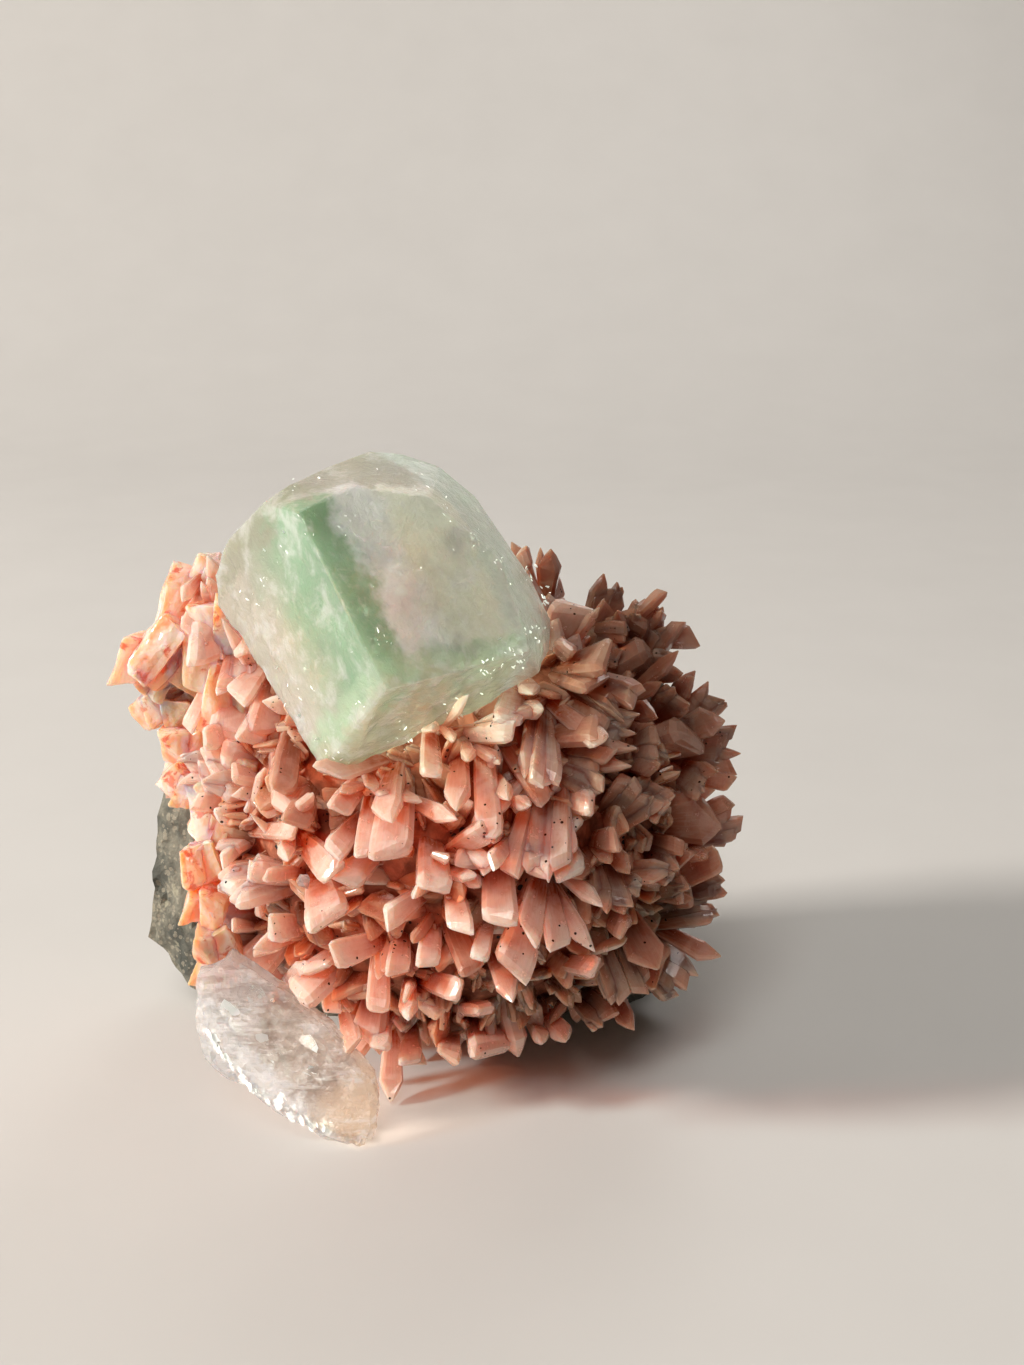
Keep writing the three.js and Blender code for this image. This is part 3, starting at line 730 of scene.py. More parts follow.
def line_group():
    """Fine lines along a crystal and faint waves across it, as height and as a mask."""
    group, tree, given, out = new_group(
        "growth_lines", ["Lines", "Place"], {"Fineness": 3.0}, ["Height", "Mask"])
    stretched = tree.vector("MULTIPLY", given["Lines"], (1.0, 0.09, 1.0))["Vector"]
    fine = tree.noise(stretched, given["Fineness"], 4.0, 0.6)
    broad = tree.noise(given["Place"], 420.0, 3.0, 0.5)
    tree.link(tree.plus(tree.times(fine, 0.7), tree.times(broad, 0.5)), out["Height"])
    tree.link(tree.ramp(fine, 0.45, 0.62), out["Mask"])
    return group


CLOUDS, SPECKS, LINES = cloud_group(), speck_group(), line_group()


def new_finish(name, **shader_values):
    material = bpy.data.materials.new(name)
    material.use_nodes = True
    tree = Tree(material.node_tree)
    shader = tree.nodes["Principled BSDF"]
    for label, value in shader_values.items():
        shader.inputs[label.replace("_", " ")].default_value = value
    place = tree.add("ShaderNodeTexCoord").outputs["Object"]
    return material, tree, shader, place


# Finishes
def heulandite_finish(name, root, body, tip, transmission, roughness, shade):
    """Pearly crystal that goes from a dark root, partly rust and partly painted recess shade, to a pale
    end.
    """
    material, tree, shader, place = new_finish(
        name, Roughness=roughness, IOR=1.5, Transmission_Weight=transmission,
        Subsurface_Weight=0.8, Subsurface_Scale=0.003, Subsurface_Radius=(1.0, 0.5, 0.36))
    growth, tone = tree.attribute("growth"), tree.attribute("tone")
    lines = tree.group(LINES, Lines=tree.uv(), Place=place, Fineness=3.4)
    clouds = tree.group(CLOUDS, Place=place, Scale=430.0, Low=0.43, High=0.6)
    specks = tree.group(SPECKS, Place=place, Scale=1350.0, Size=0.14, Patch=0.57)
    inclusions = tree.noise(place, 760.0, 5.0, 0.7)
    # Darker towards the root: partly rust, partly painted shade of the recesses between the blades
    low = tree.mix(tree.ramp(growth, 0.26, 0.6), root, body)
    pale = tree.plus(tree.times(tree.ramp(growth, 0.5, 1.0), 0.7), tree.times(clouds["Mask"], 0.45),
                     clamp=True)
    pale = tree.times(pale, tree.plus(tree.times(tone, 0.75), 0.25), clamp=True)
    colour = tree.mix(pale, low, tip)
    streak = tree.times(lines["Mask"], 0.14)
    colour = tree.mix(streak, colour, tip)
    # Paler rims: painted glow of light through the thin edges of the blades
    rim = tree.times(tree.ramp(tree.attribute("rim"), 0.2, 0.9), 0.35)
    colour = tree.mix(rim, colour, tip)
    cloudy = tree.ramp(inclusions, 0.5, 0.68)
    colour = tree.mix(tree.times(cloudy, 0.22), colour, root)
    # Darker upper right: painted shadow of the apophyllite block, and dirt
    block_shade_and_dirt = tree.ramp(tree.dot(place, (0.5, 0, 0.866)), 0.041, 0.049)
    colour = tree.mix(tree.times(block_shade_and_dirt, 0.5), colour, (0.16, 0.06, 0.032))
    colour = tree.mix(specks["Mask"], colour, (0.03, 0.018, 0.012))
    tree.link(colour, shader.inputs["Base Color"])
    gloss = tree.plus(tree.times(cloudy, 0.22), roughness)
    tree.link(gloss, shader.inputs["Roughness"])
    tree.bump(shader, lines["Height"], 0.48, 0.0002)
    tree.let_lamps_through(shader, shade)
    return material


def mass_finish():
    """Rusty brown ground that shows between the blades, darkened in part as painted shade of the
    recesses.
    """
    material, tree, shader, place = new_finish("rusty_shaded_ground", Roughness=0.7)
    clouds = tree.group(CLOUDS, Place=place, Scale=380.0, Low=0.35, High=0.7)
    specks = tree.group(SPECKS, Place=place, Scale=1400.0, Size=0.3, Patch=0.56)
    # Dark brown: partly rust, partly painted shade of the recesses
    colour = tree.mix(clouds["Mask"], (0.2, 0.055, 0.022), (0.5, 0.17, 0.085))
    tree.link(tree.mix(specks["Mask"], colour, (0.01, 0.008, 0.006)), shader.inputs["Base Color"])
    tree.bump(shader, tree.noise(place, 1500.0, 4.0, 0.6), 0.6, 0.0003)
    return material


def broken_finish():
    """Glassy peach crystal, cleaved and stained orange, with near-white patches that partly paint the
    glow of the lit knob.
    """
    material, tree, shader, place = new_finish(
        "broken_peach", Roughness=0.2, IOR=1.5, Transmission_Weight=0.2, Subsurface_Weight=0.9,
        Subsurface_Scale=0.005, Subsurface_Radius=(1.0, 0.42, 0.2), Coat_Weight=0.3)
    clouds = tree.group(CLOUDS, Place=place, Scale=210.0, Low=0.42, High=0.6)
    bright = tree.group(CLOUDS, Place=place, Scale=130.0, Low=0.5, High=0.64)
    stains = tree.group(CLOUDS, Place=place, Scale=430.0, Low=0.58, High=0.66)
    ribs = tree.noise(tree.leaning(place, -24, (700.0, 400.0, 90.0)), 1.0, 4.0, 0.6)
    colour = tree.mix(clouds["Mask"], (0.92, 0.44, 0.26), (0.96, 0.68, 0.53))
    # Near-white patches: partly the whitish inside of the crystal, partly painted glow of the lit knob
    colour = tree.mix(tree.times(bright["Mask"], 0.9), colour, (0.99, 0.88, 0.78))
    colour = tree.mix(tree.times(stains["Mask"], 0.8), colour, (0.6, 0.12, 0.05))
    tree.link(colour, shader.inputs["Base Color"])
    tree.bump(shader, ribs, 0.5, 0.0003)
    tree.let_lamps_through(shader, (0.6, 0.26, 0.16))
    return material


def block_finish():
    """See-through apophyllite, with a green band, a lilac zone, a beige zone and milky veils."""
    material, tree, shader, place = new_finish(
        "apophyllite_glass", Roughness=0.06, IOR=1.535, Transmission_Weight=0.52,
        Subsurface_Weight=1.0, Subsurface_Scale=0.006, Subsurface_Radius=(0.9, 1.0, 0.85))
    local = tree.vector("SUBTRACT", place, BLOCK_CENTRE * MM)["Vector"]
    wobble = tree.wobble(place, 210.0, 0.009)
    front, left, down = [tree.plus(tree.dot(local, way), wobble)for way in (BLOCK_FRONT, BLOCK_LEFT,
                                   BLOCK_DOWN)]
    lilac, beige, green = (0.94, 0.96, 1.0), (0.95, 0.94, 0.79), (0.3, 0.5, 0.31)
    colour = tree.mix(tree.ramp(left, -0.002, 0.002), beige, lilac)
    side = tree.ramp(left, 0.006, 0.008)
    colour = tree.mix(side, colour, (0.62, 0.56, 0.47))
    band = tree.times(tree.ramp(left, 0.0042, 0.0068), tree.ramp(front, -0.006, 0.005))
    colour = tree.mix(band, colour, green)
    foot = tree.ramp(down, 0.0072, 0.0095)
    colour = tree.mix(tree.times(foot, 0.8), colour, (0.5, 0.68, 0.46))
    foot_rim = tree.ramp(down, 0.0098, 0.0112)
    colour = tree.mix(foot_rim, colour, (0.6, 0.64, 0.46))
    top = tree.times(tree.ramp(tree.times(down, -1.0), 0.0085, 0.0105), 0.8)
    colour = tree.mix(top, colour, (0.42, 0.4, 0.3))
    # Paler rim on the right-hand edge: painted highlight of that glassy edge
    rim = tree.ramp(tree.times(left, -1.0), 0.0065, 0.009)
    colour = tree.mix(rim, colour, (0.76, 0.86, 0.78))
    clouds = tree.group(CLOUDS, Place=place, Scale=330.0, Low=0.48, High=0.68)
    colour = tree.mix(tree.times(clouds["Mask"], 0.45), colour, (0.95, 0.97, 0.95))
    mottle = tree.noise(place, 900.0, 5.0, 0.7)
    colour = tree.mix(tree.times(tree.ramp(mottle, 0.62, 0.36), 0.16), colour, (0.45, 0.44, 0.38))
    tree.link(colour, shader.inputs["Base Color"])
    grooves = tree.add("ShaderNodeCombineXYZ")
    for axis, distance, fineness in (("X", left, 1100.0), ("Y", front, 1100.0), ("Z", down, 110.0)):
        tree.link(tree.times(distance, fineness), grooves.inputs[axis])
    uneven = tree.plus(tree.noise(place, 330.0, 5.0, 0.65),
                       tree.times(tree.noise(grooves.outputs[0], 1.0, 4.0, 0.6), 0.5))
    tree.bump(shader, uneven, 0.6, 0.0005)
    tree.let_lamps_through(shader, (0.86, 0.92, 0.86))
    return material


def clear_blade_finish():
    """Whitish see-through blade with lengthwise lines."""
    material, tree, shader, place = new_finish(
        "clear_blade_glass", Roughness=0.08, IOR=1.5, Transmission_Weight=0.68,
        Subsurface_Weight=1.0, Subsurface_Scale=0.004, Subsurface_Radius=(1.0, 0.9, 0.8))
    grain = tree.noise(tree.leaning(place, 50, (150.0, 500.0, 900.0)), 1.0, 4.0, 0.6)
    local = tree.vector("SUBTRACT", place, CLEAR_BLADE_MIDDLE * MM)["Vector"]
    wobble = tree.wobble(place, 260.0, 0.006)
    along, aside = [tree.plus(tree.dot(local, (x, 0, -0.707)), wobble) for x in (0.707, -0.707)]
    clouds = tree.group(CLOUDS, Place=place, Scale=230.0, Low=0.4, High=0.62)
    colour = tree.mix(clouds["Mask"], (0.5, 0.42, 0.37), (0.78, 0.71, 0.65))
    frost = tree.ramp(tree.times(along, -1.0), 0.003, 0.0055)
    colour = tree.mix(tree.times(frost, 0.7), colour, (0.66, 0.6, 0.59))
    tip = tree.times(tree.ramp(along, 0.0045, 0.0078), 0.75)
    colour = tree.mix(tip, colour, (0.9, 0.75, 0.61))
    colour = tree.mix(tree.times(tree.ramp(grain, 0.52, 0.62), 0.8), colour, (1.0, 0.99, 0.97))
    colour = tree.mix(tree.ramp(aside, 0.0018, 0.003), colour, (1.0, 1.0, 1.0))
    tree.link(colour, shader.inputs["Base Color"])
    rough = tree.plus(grain, tree.noise(place, 420.0, 5.0, 0.65))
    tree.bump(shader, rough, 0.7, 0.0005)
    tree.let_lamps_through(shader, (0.94, 0.9, 0.87))
    return material


def veil_finish():
    """Bright fracture veils and flakes inside the clear crystals; the same white also paints the glints
    on the block.
    """
    material, tree, shader, place = new_finish("fracture_veil", Roughness=0.22)
    clouds = tree.group(CLOUDS, Place=place, Scale=420.0, Low=0.4, High=0.62)
    wisps = tree.group(CLOUDS, Place=place, Scale=900.0, Low=0.45, High=0.7)
    tree.link(tree.mix(clouds["Mask"], (0.84, 0.9, 0.86), (1.0, 1.0, 1.0)), shader.inputs["Base Color"])
    tone = tree.attribute("tone")
    cover = tree.times(tree.math("MAXIMUM", wisps["Mask"], tree.ramp(tone, 0.8, 0.9)), tone)
    tree.link(cover, shader.inputs["Alpha"])
    return material


def basalt_finish():
    """Rough dark green-grey rock, with paler grains and small pits."""
    material, tree, shader, place = new_finish("basalt", Roughness=0.9)
    clouds = tree.group(CLOUDS, Place=place, Scale=240.0, Low=0.35, High=0.65)
    grains = tree.group(SPECKS, Place=place, Scale=1500.0, Size=0.34, Patch=0.42)
    crust = tree.group(CLOUDS, Place=place, Scale=420.0, Low=0.6, High=0.68)
    colour = tree.mix(clouds["Mask"], (0.09, 0.095, 0.08), (0.24, 0.23, 0.18))
    colour = tree.mix(tree.times(grains["Mask"], 0.5), colour, (0.42, 0.38, 0.29))
    colour = tree.mix(tree.times(crust["Mask"], 0.6), colour, (0.46, 0.43, 0.31))
    tree.link(colour, shader.inputs["Base Color"])
    height = tree.plus(tree.noise(place, 900.0, 6.0, 0.7),
                       tree.times(tree.noise(place, 2600.0, 4.0, 0.7), 0.4))
    tree.bump(shader, height, 0.9, 0.0006)
    return material


# Pieces of the specimen
def copied_solid(node):
    """A merged copy of a CAD solid, in mm."""
    solid = bmesh.new()
    solid.from_mesh(frame["nodes"][node].data)
    bmesh.ops.scale(solid, vec=(1000, 1000, 1000), verts=solid.verts)
    bmesh.ops.remove_doubles(solid, verts=solid.verts, dist=0.002)
    return solid


def finished_piece(name, solid, material):
    bmesh.ops.scale(solid, vec=(MM, MM, MM), verts=solid.verts)
    bmesh.ops.recalc_face_normals(solid, faces=solid.faces)
    mesh = mesh_from(solid, name)
    mesh.materials.append(material)
    return shown_object(name, mesh)


def drop_flaps(solid):
    """Delete pairs of faces on the same points, which triangulating can leave behind."""
    twins = {}
    for face in solid.faces:
        twins.setdefault(frozenset(face.verts), []).append(face)
    flaps = [face for faces in twins.values() for face in faces[:len(faces) // 2 * 2]]
    bmesh.ops.delete(solid, geom=flaps, context="FACES")


def split_long_edges(solid, longest, rounds):
    bmesh.ops.triangulate(solid, faces=solid.faces)
    drop_flaps(solid)
    for _ in range(rounds):
        edges = [e for e in solid.edges if e.calc_length() > longest]
        if not edges:
            break
        bmesh.ops.subdivide_edges(solid, edges=edges, cuts=1)
        bmesh.ops.triangulate(solid, faces=[f for f in solid.faces if len(f.verts) > 3])
        drop_flaps(solid)


def basalt_slab(material):
    solid = copied_solid("basalt_matrix")
    split_long_edges(solid, 1.1, 4)
    solid.normal_update()
    for vert in solid.verts:
        if vert.co.z < 0.05:
            continue
        rough = noise.fractal(vert.co * 0.34, 0.9, 2.1, 5) * 0.55
        pit = max(0.0, noise.noise(vert.co * 0.95) - 0.32) * 1.6
        vert.co += vert.normal * (rough * 0.8 - pit - 0.1)
        vert.co.z = max(vert.co.z, 0.0)
    return finished_piece("basalt_slab", solid, material)


def heulandite_ground(material):
    """The lumpy mass between the blades, kept clear of the apophyllite block."""
    solid = bmesh.new()
    bmesh.ops.create_icosphere(solid, subdivisions=5, radius=1.0)
    centre = np.array(DOME_CENTRE)
    for vert in solid.verts:
        out = vert.co.normalized()
        lumps = noise.fractal(out * 7.0, 1.0, 2.0, 4) * 0.8
        place = Vector([out[k] * (DOME_RADII[k] - 0.7 + lumps) + DOME_CENTRE[k] for k in range(3)])
        place.y = min(place.y, 6.0)
        beyond = right_of_break(place)
        if beyond < 0.4:
            place -= BREAK_OUTWARD * (beyond - 0.4)
        vert.co = place
    points = np.array([list(v.co) for v in solid.verts])
    for _ in range(60):
        inside = depth_in_block(points) > -0.35
        if not inside.any():
            break
        points[inside] += (centre - points[inside]) * 0.02
    for vert, point in zip(solid.verts, points):
        vert.co = point
    return finished_piece("heulandite_ground", solid, material)


def apophyllite_block(material):
    """The block with bevelled edges, rippled and broken at its foot and its back."""
    solid = copied_solid("apophyllite_crystal")
    bmesh.ops.dissolve_limit(solid, angle_limit=math.radians(2), verts=solid.verts, edges=solid.edges)
    bmesh.ops.bevel(solid, geom=list(solid.edges), offset=0.14, segments=1,
                    affect="EDGES", clamp_overlap=True)
    split_long_edges(solid, 0.9, 5)
    solid.normal_update()
    for vert in solid.verts:
        local = vert.co - BLOCK_CENTRE
        down, front = local.dot(BLOCK_DOWN), local.dot(BLOCK_FRONT)
        broken = max(min((down - 8.5) / 2.5, 1), min((-front - 3.5) / 2, 1), 0)
        ripple = noise.fractal(vert.co * 0.3, 0.9, 2.1, 3) * (0.05 + 0.4 * broken)
        vert.co += vert.normal * (ripple - 0.12 * broken)
    return finished_piece("apophyllite_block", solid, material)


def add_flake(crust, middle, normal, radius, thickness, tone, rng, slim=1.0):
    """A thin closed flake with an uneven outline."""
    normal = normal.normalized()
    across = normal.orthogonal().normalized()
    along = normal.cross(across)
    count = 9
    reaches = [radius * rng.uniform(0.55, 1.1) for _ in range(count)]
    rings = []
    for scale, height in ((0.35, 0.5), (1.0, 0.12), (1.0, -0.12), (0.35, -0.5)):
        ring = []
        for k in range(count):
            angle = 2 * math.pi * k / count
            ring.append(middle + across * (math.cos(angle) * reaches[k] * scale * slim)
                        + along * (math.sin(angle) * reaches[k] * scale) + normal * (height * thickness))
        rings.append(ring)
    lines = [[(0.0, 0.0)] * count for _ in rings]
    crust.add_rings(rings, [0.5] * 4, lines, tone)


def veils_in_block(material):
    """Fracture veils inside the block, and white flakes near its faces and edges and on it that paint
    its sparkles and glints.
    """
    crust = Crust()
    rng = random.Random(VEIL_SEED)
    directions = (BLOCK_FRONT, BLOCK_LEFT, BLOCK_DOWN, BLOCK_LEFT)
    made = 0
    while made < VEIL_COUNT + SPARKLE_COUNT:
        place = BLOCK_CENTRE + scatter(rng, 16)
        depth = float(depth_in_block([list(place)])[0])
        broad = made < VEIL_COUNT
        if depth < (1.4 if broad else -0.02) or (not broad and depth > 0.5):
            continue
        second = float(np.sort(BLOCK_REACHES - BLOCK_NORMALS @ np.array(place))[1])
        if not broad and second > 1.0 and rng.random() < 0.7:
            continue
        normal = rng.choice(directions) + scatter(rng, 0.35)
        radius = rng.uniform(1.0, min(4.5, depth)) if broad else rng.uniform(0.1, 0.34)
        cover = rng.uniform(0.1, 0.45) if broad else 1.0
        add_flake(crust, place, normal, radius, 0.05, cover, rng)
        made += 1
    # White flakes on the block: painted glints
    for px, py, count in GLINTS:
        for _ in range(count):
            place = seen_on_block(px + rng.gauss(0, 7), py + rng.gauss(0, 7))
            place = place + (place - EYE).normalized() * rng.uniform(0.0, 0.25)
            normal = Vector((-0.5, -0.7, 0.5)) + scatter(rng, 0.5)
            add_flake(crust, place, normal, rng.uniform(0.09, 0.34), 0.05, 1.0, rng,
                      slim=rng.uniform(0.25, 0.6))
    return crust.make("fracture_veils", material)


def flakes_in_clear_blade(material):
    """White flakes and cracks inside the clear blade, mostly along its length."""
    crust = Crust()
    rng = random.Random(FLAKE_SEED)
    for _ in range(CLEAR_BLADE_FLAKES):
        share = rng.uniform(0.12, 0.88)
        aside = rng.uniform(-24, 24)
        px, py = 222 + 125 * share + aside * 0.7, 985 + 125 * share - aside * 0.7
        place = seen_at_depth(px, py, clear_blade_depth(py) + rng.uniform(-1.15, 0.3))
        normal = Vector((rng.uniform(-0.3, 0.3), -1, rng.uniform(-0.2, 0.5)))
        add_flake(crust, place, normal, rng.uniform(0.25, 1.4), 0.04, rng.uniform(0.5, 0.95), rng,
                  slim=rng.uniform(0.3, 0.8))
    for (px, py), (nx, ny) in zip(CLEAR_BLADE_BRIGHT_EDGE, CLEAR_BLADE_BRIGHT_EDGE[1:]):
        for k in range(12):
            x = px + (nx - px) * k / 12 + rng.gauss(0, 3)
            y = py + (ny - py) * k / 12 + rng.gauss(0, 3)
            place = seen_at_depth(x, y, clear_blade_depth(y) - rng.uniform(0.8, 1.35))
            normal = Vector((-0.5 + rng.uniform(-0.3, 0.3), -1, rng.uniform(0, 0.5)))
            add_flake(crust, place, normal, rng.uniform(0.25, 0.8), 0.04, 1.0, rng,
                      slim=rng.uniform(0.4, 0.8))
    return crust.make("clear_blade_flakes", material)


def clear_blade_piece(material):
    """The clear blade: a thin tablet with a straight upper edge and a broken lower one."""
    rng = random.Random(CLEAR_BLADE_SEED)
    outline = []
    for k, (px, py) in enumerate(CLEAR_BLADE_OUTLINE):
        nx, ny = CLEAR_BLADE_OUTLINE[(k + 1) % len(CLEAR_BLADE_OUTLINE)]
        worn = 0.4 if 1 <= k <= 5 else 2.6
        for share in (0, 0.34, 0.67):
            shift = 0 if share == 0 else worn
            outline.append((px + (nx - px) * share + rng.uniform(-shift, shift),
                            py + (ny - py) * share + rng.uniform(-shift, shift)))
    half = CLEAR_BLADE_THICKNESS / 2
    rings = [[], [], [], []]
    for px, py in outline:
        rim = seen_at_depth(px, py, clear_blade_depth(py))
        inward = CLEAR_BLADE_MIDDLE - rim
        inward.y = 0
        inward.normalize()
        rings[0].append(rim + inward * 1.0 + Vector((0, -half * 0.97, 0)))
        rings[1].append(rim + inward * 0.1 + Vector((0, -half * 0.5, 0)))
        rings[2].append(rim + inward * 0.1 + Vector((0, half * 0.85, 0)))
        rings[3].append(rim + inward * 0.8 + Vector((0, half * 0.97, 0)))
    crust = Crust()
    crust.add_rings(rings, [0, 0, 0, 0], [[(0.0, 0.0)] * len(outline)] * 4, 0.5)
    solid = bmesh.new()
    made = [solid.verts.new(p) for p in crust.points]
    for face in crust.faces:
        solid.faces.new([made[i] for i in face])
    split_long_edges(solid, 0.8, 5)
    solid.normal_update()
    for vert in solid.verts:
        lengthwise = Vector(((vert.co.x + vert.co.z) * 0.9, vert.co.y * 0.9,
                             (vert.co.x - vert.co.z) * 0.14))
        rough = noise.fractal(vert.co * 0.42, 0.9, 2.2, 4) * 0.24
        rough += noise.fractal(lengthwise, 0.8, 2.1, 3) * 0.22
        vert.co += vert.normal * (rough - 0.16)
        vert.co.z = max(vert.co.z, FLOOR_GAP)
    return finished_piece("clear_blade", solid, material)


# Small blades that cover the ground between the large ones
def small_blade_shapes(material):
    shapes = bpy.data.collections.new("small_blade_shapes")
    rng = random.Random(SMALL_SHAPE_SEED)
    for k, ending in enumerate((POINTED, SLANTED, BLUNT, POINTED)):
        crust = Crust()
        for _ in range(2):
            lean = Vector((rng.uniform(-0.16, 0.16), rng.uniform(-0.16, 0.16), 1)).normalized()
            side = lean.cross(Vector((0, 1, 0))).normalized()
            add_tablet(crust, Vector((rng.uniform(-0.5, 0.5), rng.uniform(-0.3, 0.3), -0.8)), lean,
                       side, side.cross(lean), rng.uniform(3.0, 4.2), rng.uniform(2.0, 3.1),
                       rng.uniform(0.55, 0.9), ending, 0.5, rng)
        shape = crust.make(f"small_blade_{k}", material)
        bpy.context.scene.collection.objects.unlink(shape)
        shapes.objects.link(shape)
    return shapes


def small_blade_tree():
    group = bpy.data.node_groups.new("small_blades_on_ground", "GeometryNodeTree")
    face = group.interface
    face.new_socket("Ground", in_out="INPUT", socket_type="NodeSocketGeometry")
    for label, kind in (("Blade Shapes", "NodeSocketCollection"), ("Finish", "NodeSocketMaterial"),
                        ("Spacing", "NodeSocketFloat"), ("Smallest", "NodeSocketFloat"),
                        ("Largest", "NodeSocketFloat"), ("Tilt", "NodeSocketFloat"),
                        ("Seed", "NodeSocketInt")):
        face.new_socket(label, in_out="INPUT", socket_type=kind)
    face.new_socket("Blades", in_out="OUTPUT", socket_type="NodeSocketGeometry")
    tree = Tree(group)
    given, out = tree.add("NodeGroupInput").outputs, tree.add("NodeGroupOutput").inputs
    spread = tree.add("GeometryNodeDistributePointsOnFaces", distribute_method="POISSON", inputs={
        "Mesh": given["Ground"], "Distance Min": given["Spacing"], "Density Max": SMALL_DENSITY,
        "Seed": given["Seed"]}).outputs
    shapes = tree.add("GeometryNodeCollectionInfo", {
        "Separate Children": True, "Reset Children": True, "Collection": given["Blade Shapes"]})
    size = tree.add("FunctionNodeRandomValue", data_type="FLOAT", inputs={
        2: given["Smallest"], 3: given["Largest"], "Seed": given["Seed"]})
    placed = tree.add("GeometryNodeInstanceOnPoints", {
        "Pick Instance": True, "Points": spread["Points"], "Instance": shapes.outputs["Instances"],
        "Rotation": spread["Rotation"], "Scale": size.outputs[1]})
    least = tree.times(given["Tilt"], -1.0)
    low = tree.add("ShaderNodeCombineXYZ", {"X": least, "Y": least, "Z": -math.pi})
    high = tree.add("ShaderNodeCombineXYZ", {"X": given["Tilt"], "Y": given["Tilt"], "Z": math.pi})
    lean = tree.add("FunctionNodeRandomValue", data_type="FLOAT_VECTOR", inputs={
        0: low.outputs[0], 1: high.outputs[0]})
    turned_blades = tree.add("GeometryNodeRotateInstances", {
        "Instances": placed.outputs["Instances"], "Rotation": lean.outputs[0]})
    tone = tree.add("FunctionNodeRandomValue", {"Seed": TONE_SEED}, data_type="FLOAT")
    grown = turned_blades.outputs["Instances"]
    for name, kind, value in (("tone", "FLOAT", tone.outputs[1]),
                              ("blade_number", "INT", tree.add("GeometryNodeInputIndex").outputs[0])):
        grown = tree.add("GeometryNodeStoreNamedAttribute", data_type=kind, domain="INSTANCE", inputs={
            "Name": name, "Geometry": grown, "Value": value}).outputs["Geometry"]
    real = tree.add("GeometryNodeRealizeInstances", {"Geometry": grown}).outputs["Geometry"]
    finish = tree.add("GeometryNodeSetMaterial", {"Geometry": real, "Material": given["Finish"]})
    tree.link(finish.outputs["Geometry"], out["Blades"])
    return group


def small_blades(ground, tree, shapes, material, name):
    """Small blades grown over the ground, as one plain mesh clear of the apophyllite block."""
    soil = bmesh.new()
    soil.from_mesh(ground.data)
    away = []
    for face in soil.faces:
        middle = face.calc_center_median() / MM
        near = depth_in_block([list(middle)])[0] > -0.9
        if near or right_of_break(middle) < 1.0 or middle.y > 5.0 or middle.z < 1.5:
            away.append(face)
    bmesh.ops.delete(soil, geom=away, context="FACES")
    grower = shown_object(name + "_ground", mesh_from(soil, name + "_ground"))
    growth = grower.modifiers.new("growth", "NODES")
    growth.node_group = tree
    settings = {"Blade Shapes": shapes, "Finish": material, "Spacing": SMALL_SPACING * MM,
                "Smallest": SMALL_SCALES[0], "Largest": SMALL_SCALES[1], "Tilt": SMALL_TILT,
                "Seed": SMALL_SEED}
    for item in tree.interface.items_tree:
        if item.item_type == "SOCKET" and item.in_out == "INPUT" and item.name in settings:
            growth[item.identifier] = settings[item.name]
    bpy.context.view_layer.update()
    shown = grower.evaluated_get(bpy.context.evaluated_depsgraph_get())
    grown = bpy.data.meshes.new_from_object(shown)
    grower.modifiers.remove(growth)
    bpy.data.objects.remove(grower)
    return shown_object(name, without_buried_blades(grown, name))


def without_buried_blades(mesh, name):
    numbers = np.zeros(len(mesh.vertices), dtype=np.int32)
    mesh.attributes["blade_number"].data.foreach_get("value", numbers)
    points = np.zeros(len(mesh.vertices) * 3)
    mesh.vertices.foreach_get("co", points)
    points = points.reshape(-1, 3) / MM
    buried = (depth_in_block(points) > 0.25) | (points[:, 2] < 0.1)
    lost = np.isin(numbers, np.unique(numbers[buried]))
    solid = bmesh.new()
    solid.from_mesh(mesh)
    solid.verts.ensure_lookup_table()
    bmesh.ops.delete(solid, geom=[solid.verts[i] for i in np.nonzero(lost)[0]], context="VERTS")
    solid.to_mesh(mesh)
    solid.free()
    mesh.attributes.remove(mesh.attributes["blade_number"])
    mesh.name = name
    return mesh


# Build and dress the specimen
pink_finish = heulandite_finish("heulandite_pink", (0.4, 0.1, 0.036), (0.7, 0.4, 0.305),
                                (0.95, 0.78, 0.69), 0.22, 0.1, (0.7, 0.37, 0.24))
# Darker finish of the right-hand blades: partly their own browner tone, partly painted shade of that
# side
pale_shaded_finish = heulandite_finish("heulandite_pale", (0.26, 0.066, 0.024), (0.42, 0.18, 0.112),
                                (0.72, 0.47, 0.36), 0.25, 0.08, (0.55, 0.25, 0.14))
# Darker copy of the pink finish for the small blades low between the large ones: painted shade of the
# recesses
deep_shade_finish = heulandite_finish("heulandite_deep_shade", (0.24, 0.056, 0.018), (0.5, 0.18, 0.09),
                                (0.82, 0.5, 0.36), 0.16, 0.16, (0.68, 0.3, 0.16))
pink_crust, clear_crust = heulandite_blades()
ground = heulandite_ground(mass_finish())
blades = pink_crust.make("heulandite_blades", pink_finish)
pale_blades = clear_crust.make("heulandite_pale_blades", pale_shaded_finish)
edge = broken_edge(broken_finish())
clear_finish = clear_blade_finish()
glint = glint_crystal(clear_finish)
shapes = small_blade_shapes(deep_shade_finish)
tree = small_blade_tree()
small = small_blades(ground, tree, shapes, deep_shade_finish, "heulandite_small_blades")
for shape in list(shapes.objects):
    bpy.data.objects.remove(shape)
bpy.data.collections.remove(shapes)
slab = basalt_slab(basalt_finish())
block = apophyllite_block(block_finish())
veil_white = veil_finish()
veils = veils_in_block(veil_white)
flakes = flakes_in_clear_blade(veil_white)
leaning = clear_blade_piece(clear_finish)

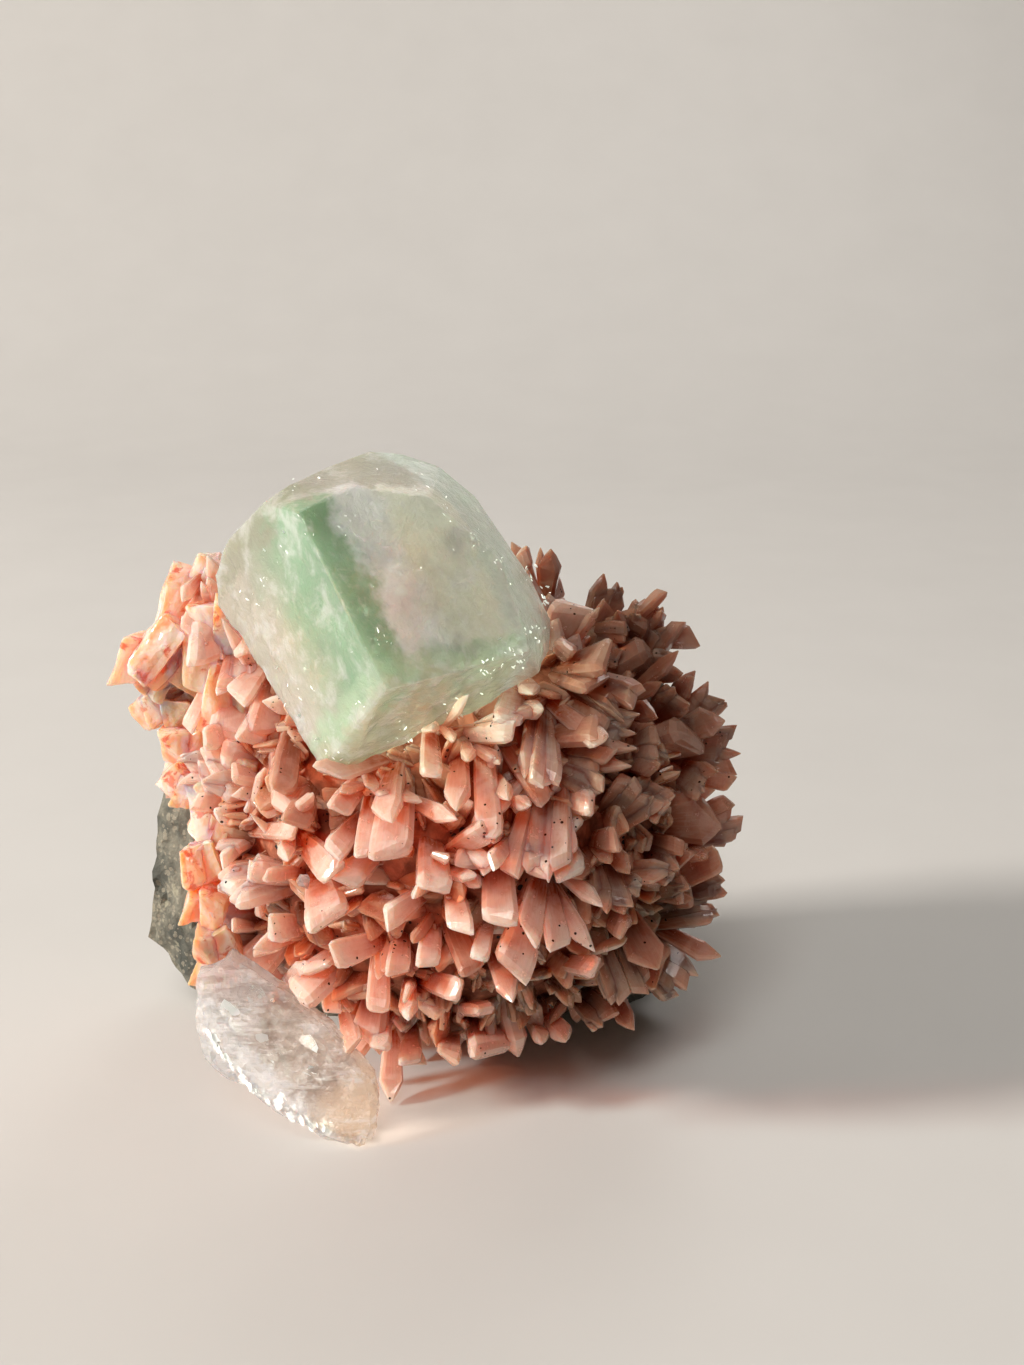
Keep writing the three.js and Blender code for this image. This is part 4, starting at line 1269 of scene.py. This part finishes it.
for piece, material_slot in ((ground, "heulandite"), (blades, "heulandite"), (pale_blades, "heulandite"),
                             (edge, "heulandite"), (small, "heulandite"), (slab, "basalt"),
                             (block, "apophyllite"), (veils, "apophyllite"), (glint, "clear_blade"),
                             (flakes, "clear_blade"), (leaning, "clear_blade")):
    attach(piece, "root")
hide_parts("heulandite_cluster")
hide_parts("basalt_matrix")
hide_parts("apophyllite_crystal")
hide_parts("clear_blade_crystal")


# Floor, light and camera, in metres
LAMP_AIM = Vector((0, 0, 0.03))
FLOOR_FRONT = -1.2
FLOOR_HALF_WIDTH = 1.6
FLOOR_BEND = 0.35
FLOOR_BEND_STEPS = 16
FLOOR_TOP = 1.6


def pale_floor():
    """A level floor that sweeps up behind the specimen."""
    solid = bmesh.new()
    profile = [(FLOOR_FRONT, 0.0), (FLOOR_BEND, 0.0)]
    for k in range(1, FLOOR_BEND_STEPS + 1):
        angle = math.radians(90 * k / FLOOR_BEND_STEPS)
        profile.append((FLOOR_BEND + FLOOR_BEND * math.sin(angle),
                        FLOOR_BEND - FLOOR_BEND * math.cos(angle)))
    profile.append((2 * FLOOR_BEND, FLOOR_TOP))
    rows = [[solid.verts.new((x, y, z)) for x in (-FLOOR_HALF_WIDTH, FLOOR_HALF_WIDTH)]
            for y, z in profile]
    for low, high in zip(rows, rows[1:]):
        solid.faces.new((low[0], low[1], high[1], high[0]))
    mesh = mesh_from(solid, "floor")
    mesh.shade_smooth()
    material, tree, shader, place = new_finish("pale_floor", Roughness=0.6)
    speck = tree.noise(place, 40.0, 2.0)
    tree.link(tree.mix(speck, (0.62, 0.61, 0.59), (0.66, 0.65, 0.63)), shader.inputs["Base Color"])
    mesh.materials.append(material)
    floor = shown_object("floor", mesh)


def soft_light(name, place, size, power, colour):
    light = bpy.data.lights.new(name, "AREA")
    light.shape = "RECTANGLE"
    light.size, light.size_y = size
    light.energy = power
    light.color = colour
    lamp = shown_object(name, light)
    lamp.location = place
    lamp.rotation_euler = (LAMP_AIM - Vector(place)).to_track_quat("-Z", "Y").to_euler()


pale_floor()
soft_light("window_side", (-0.86, -0.2, 0.42), (0.14, 0.14), 12.0, (1.0, 0.93, 0.86))
soft_light("front_fill", (-0.12, -0.5, 0.72), (0.3, 0.3), 2.8, (1.0, 0.97, 0.93))
soft_light("back_rim", (0.2, 0.5, 0.5), (0.3, 0.3), 0.8, (1.0, 0.97, 0.94))


def studio_world():
    """Soft surrounding light, brighter on the window side than on the other."""
    world = bpy.data.worlds.new("studio")
    world.use_nodes = True
    tree = Tree(world.node_tree)
    around = tree.add("ShaderNodeTexCoord").outputs["Generated"]
    across = tree.add("ShaderNodeSeparateXYZ", {0: around}).outputs["X"]
    shade = tree.mix(tree.ramp(across, 0.75, -0.75), (0.11, 0.075, 0.05), (0.82, 0.76, 0.69))
    background = tree.nodes["Background"].inputs
    tree.link(shade, background["Color"])
    background["Strength"].default_value = 0.22
    bpy.context.scene.world = world


studio_world()
lens = bpy.data.cameras.new("camera")
lens.sensor_width = 36
lens.lens = PICTURE_FOCAL / PICTURE_TALL * 36
lens.clip_start = 0.01
camera = shown_object("camera", lens)
camera.location = EYE * MM
camera.rotation_euler = (math.pi / 2 - EYE_PITCH, 0, 0)
bpy.context.scene.camera = camera
bpy.context.scene.view_settings.view_transform = "Standard"
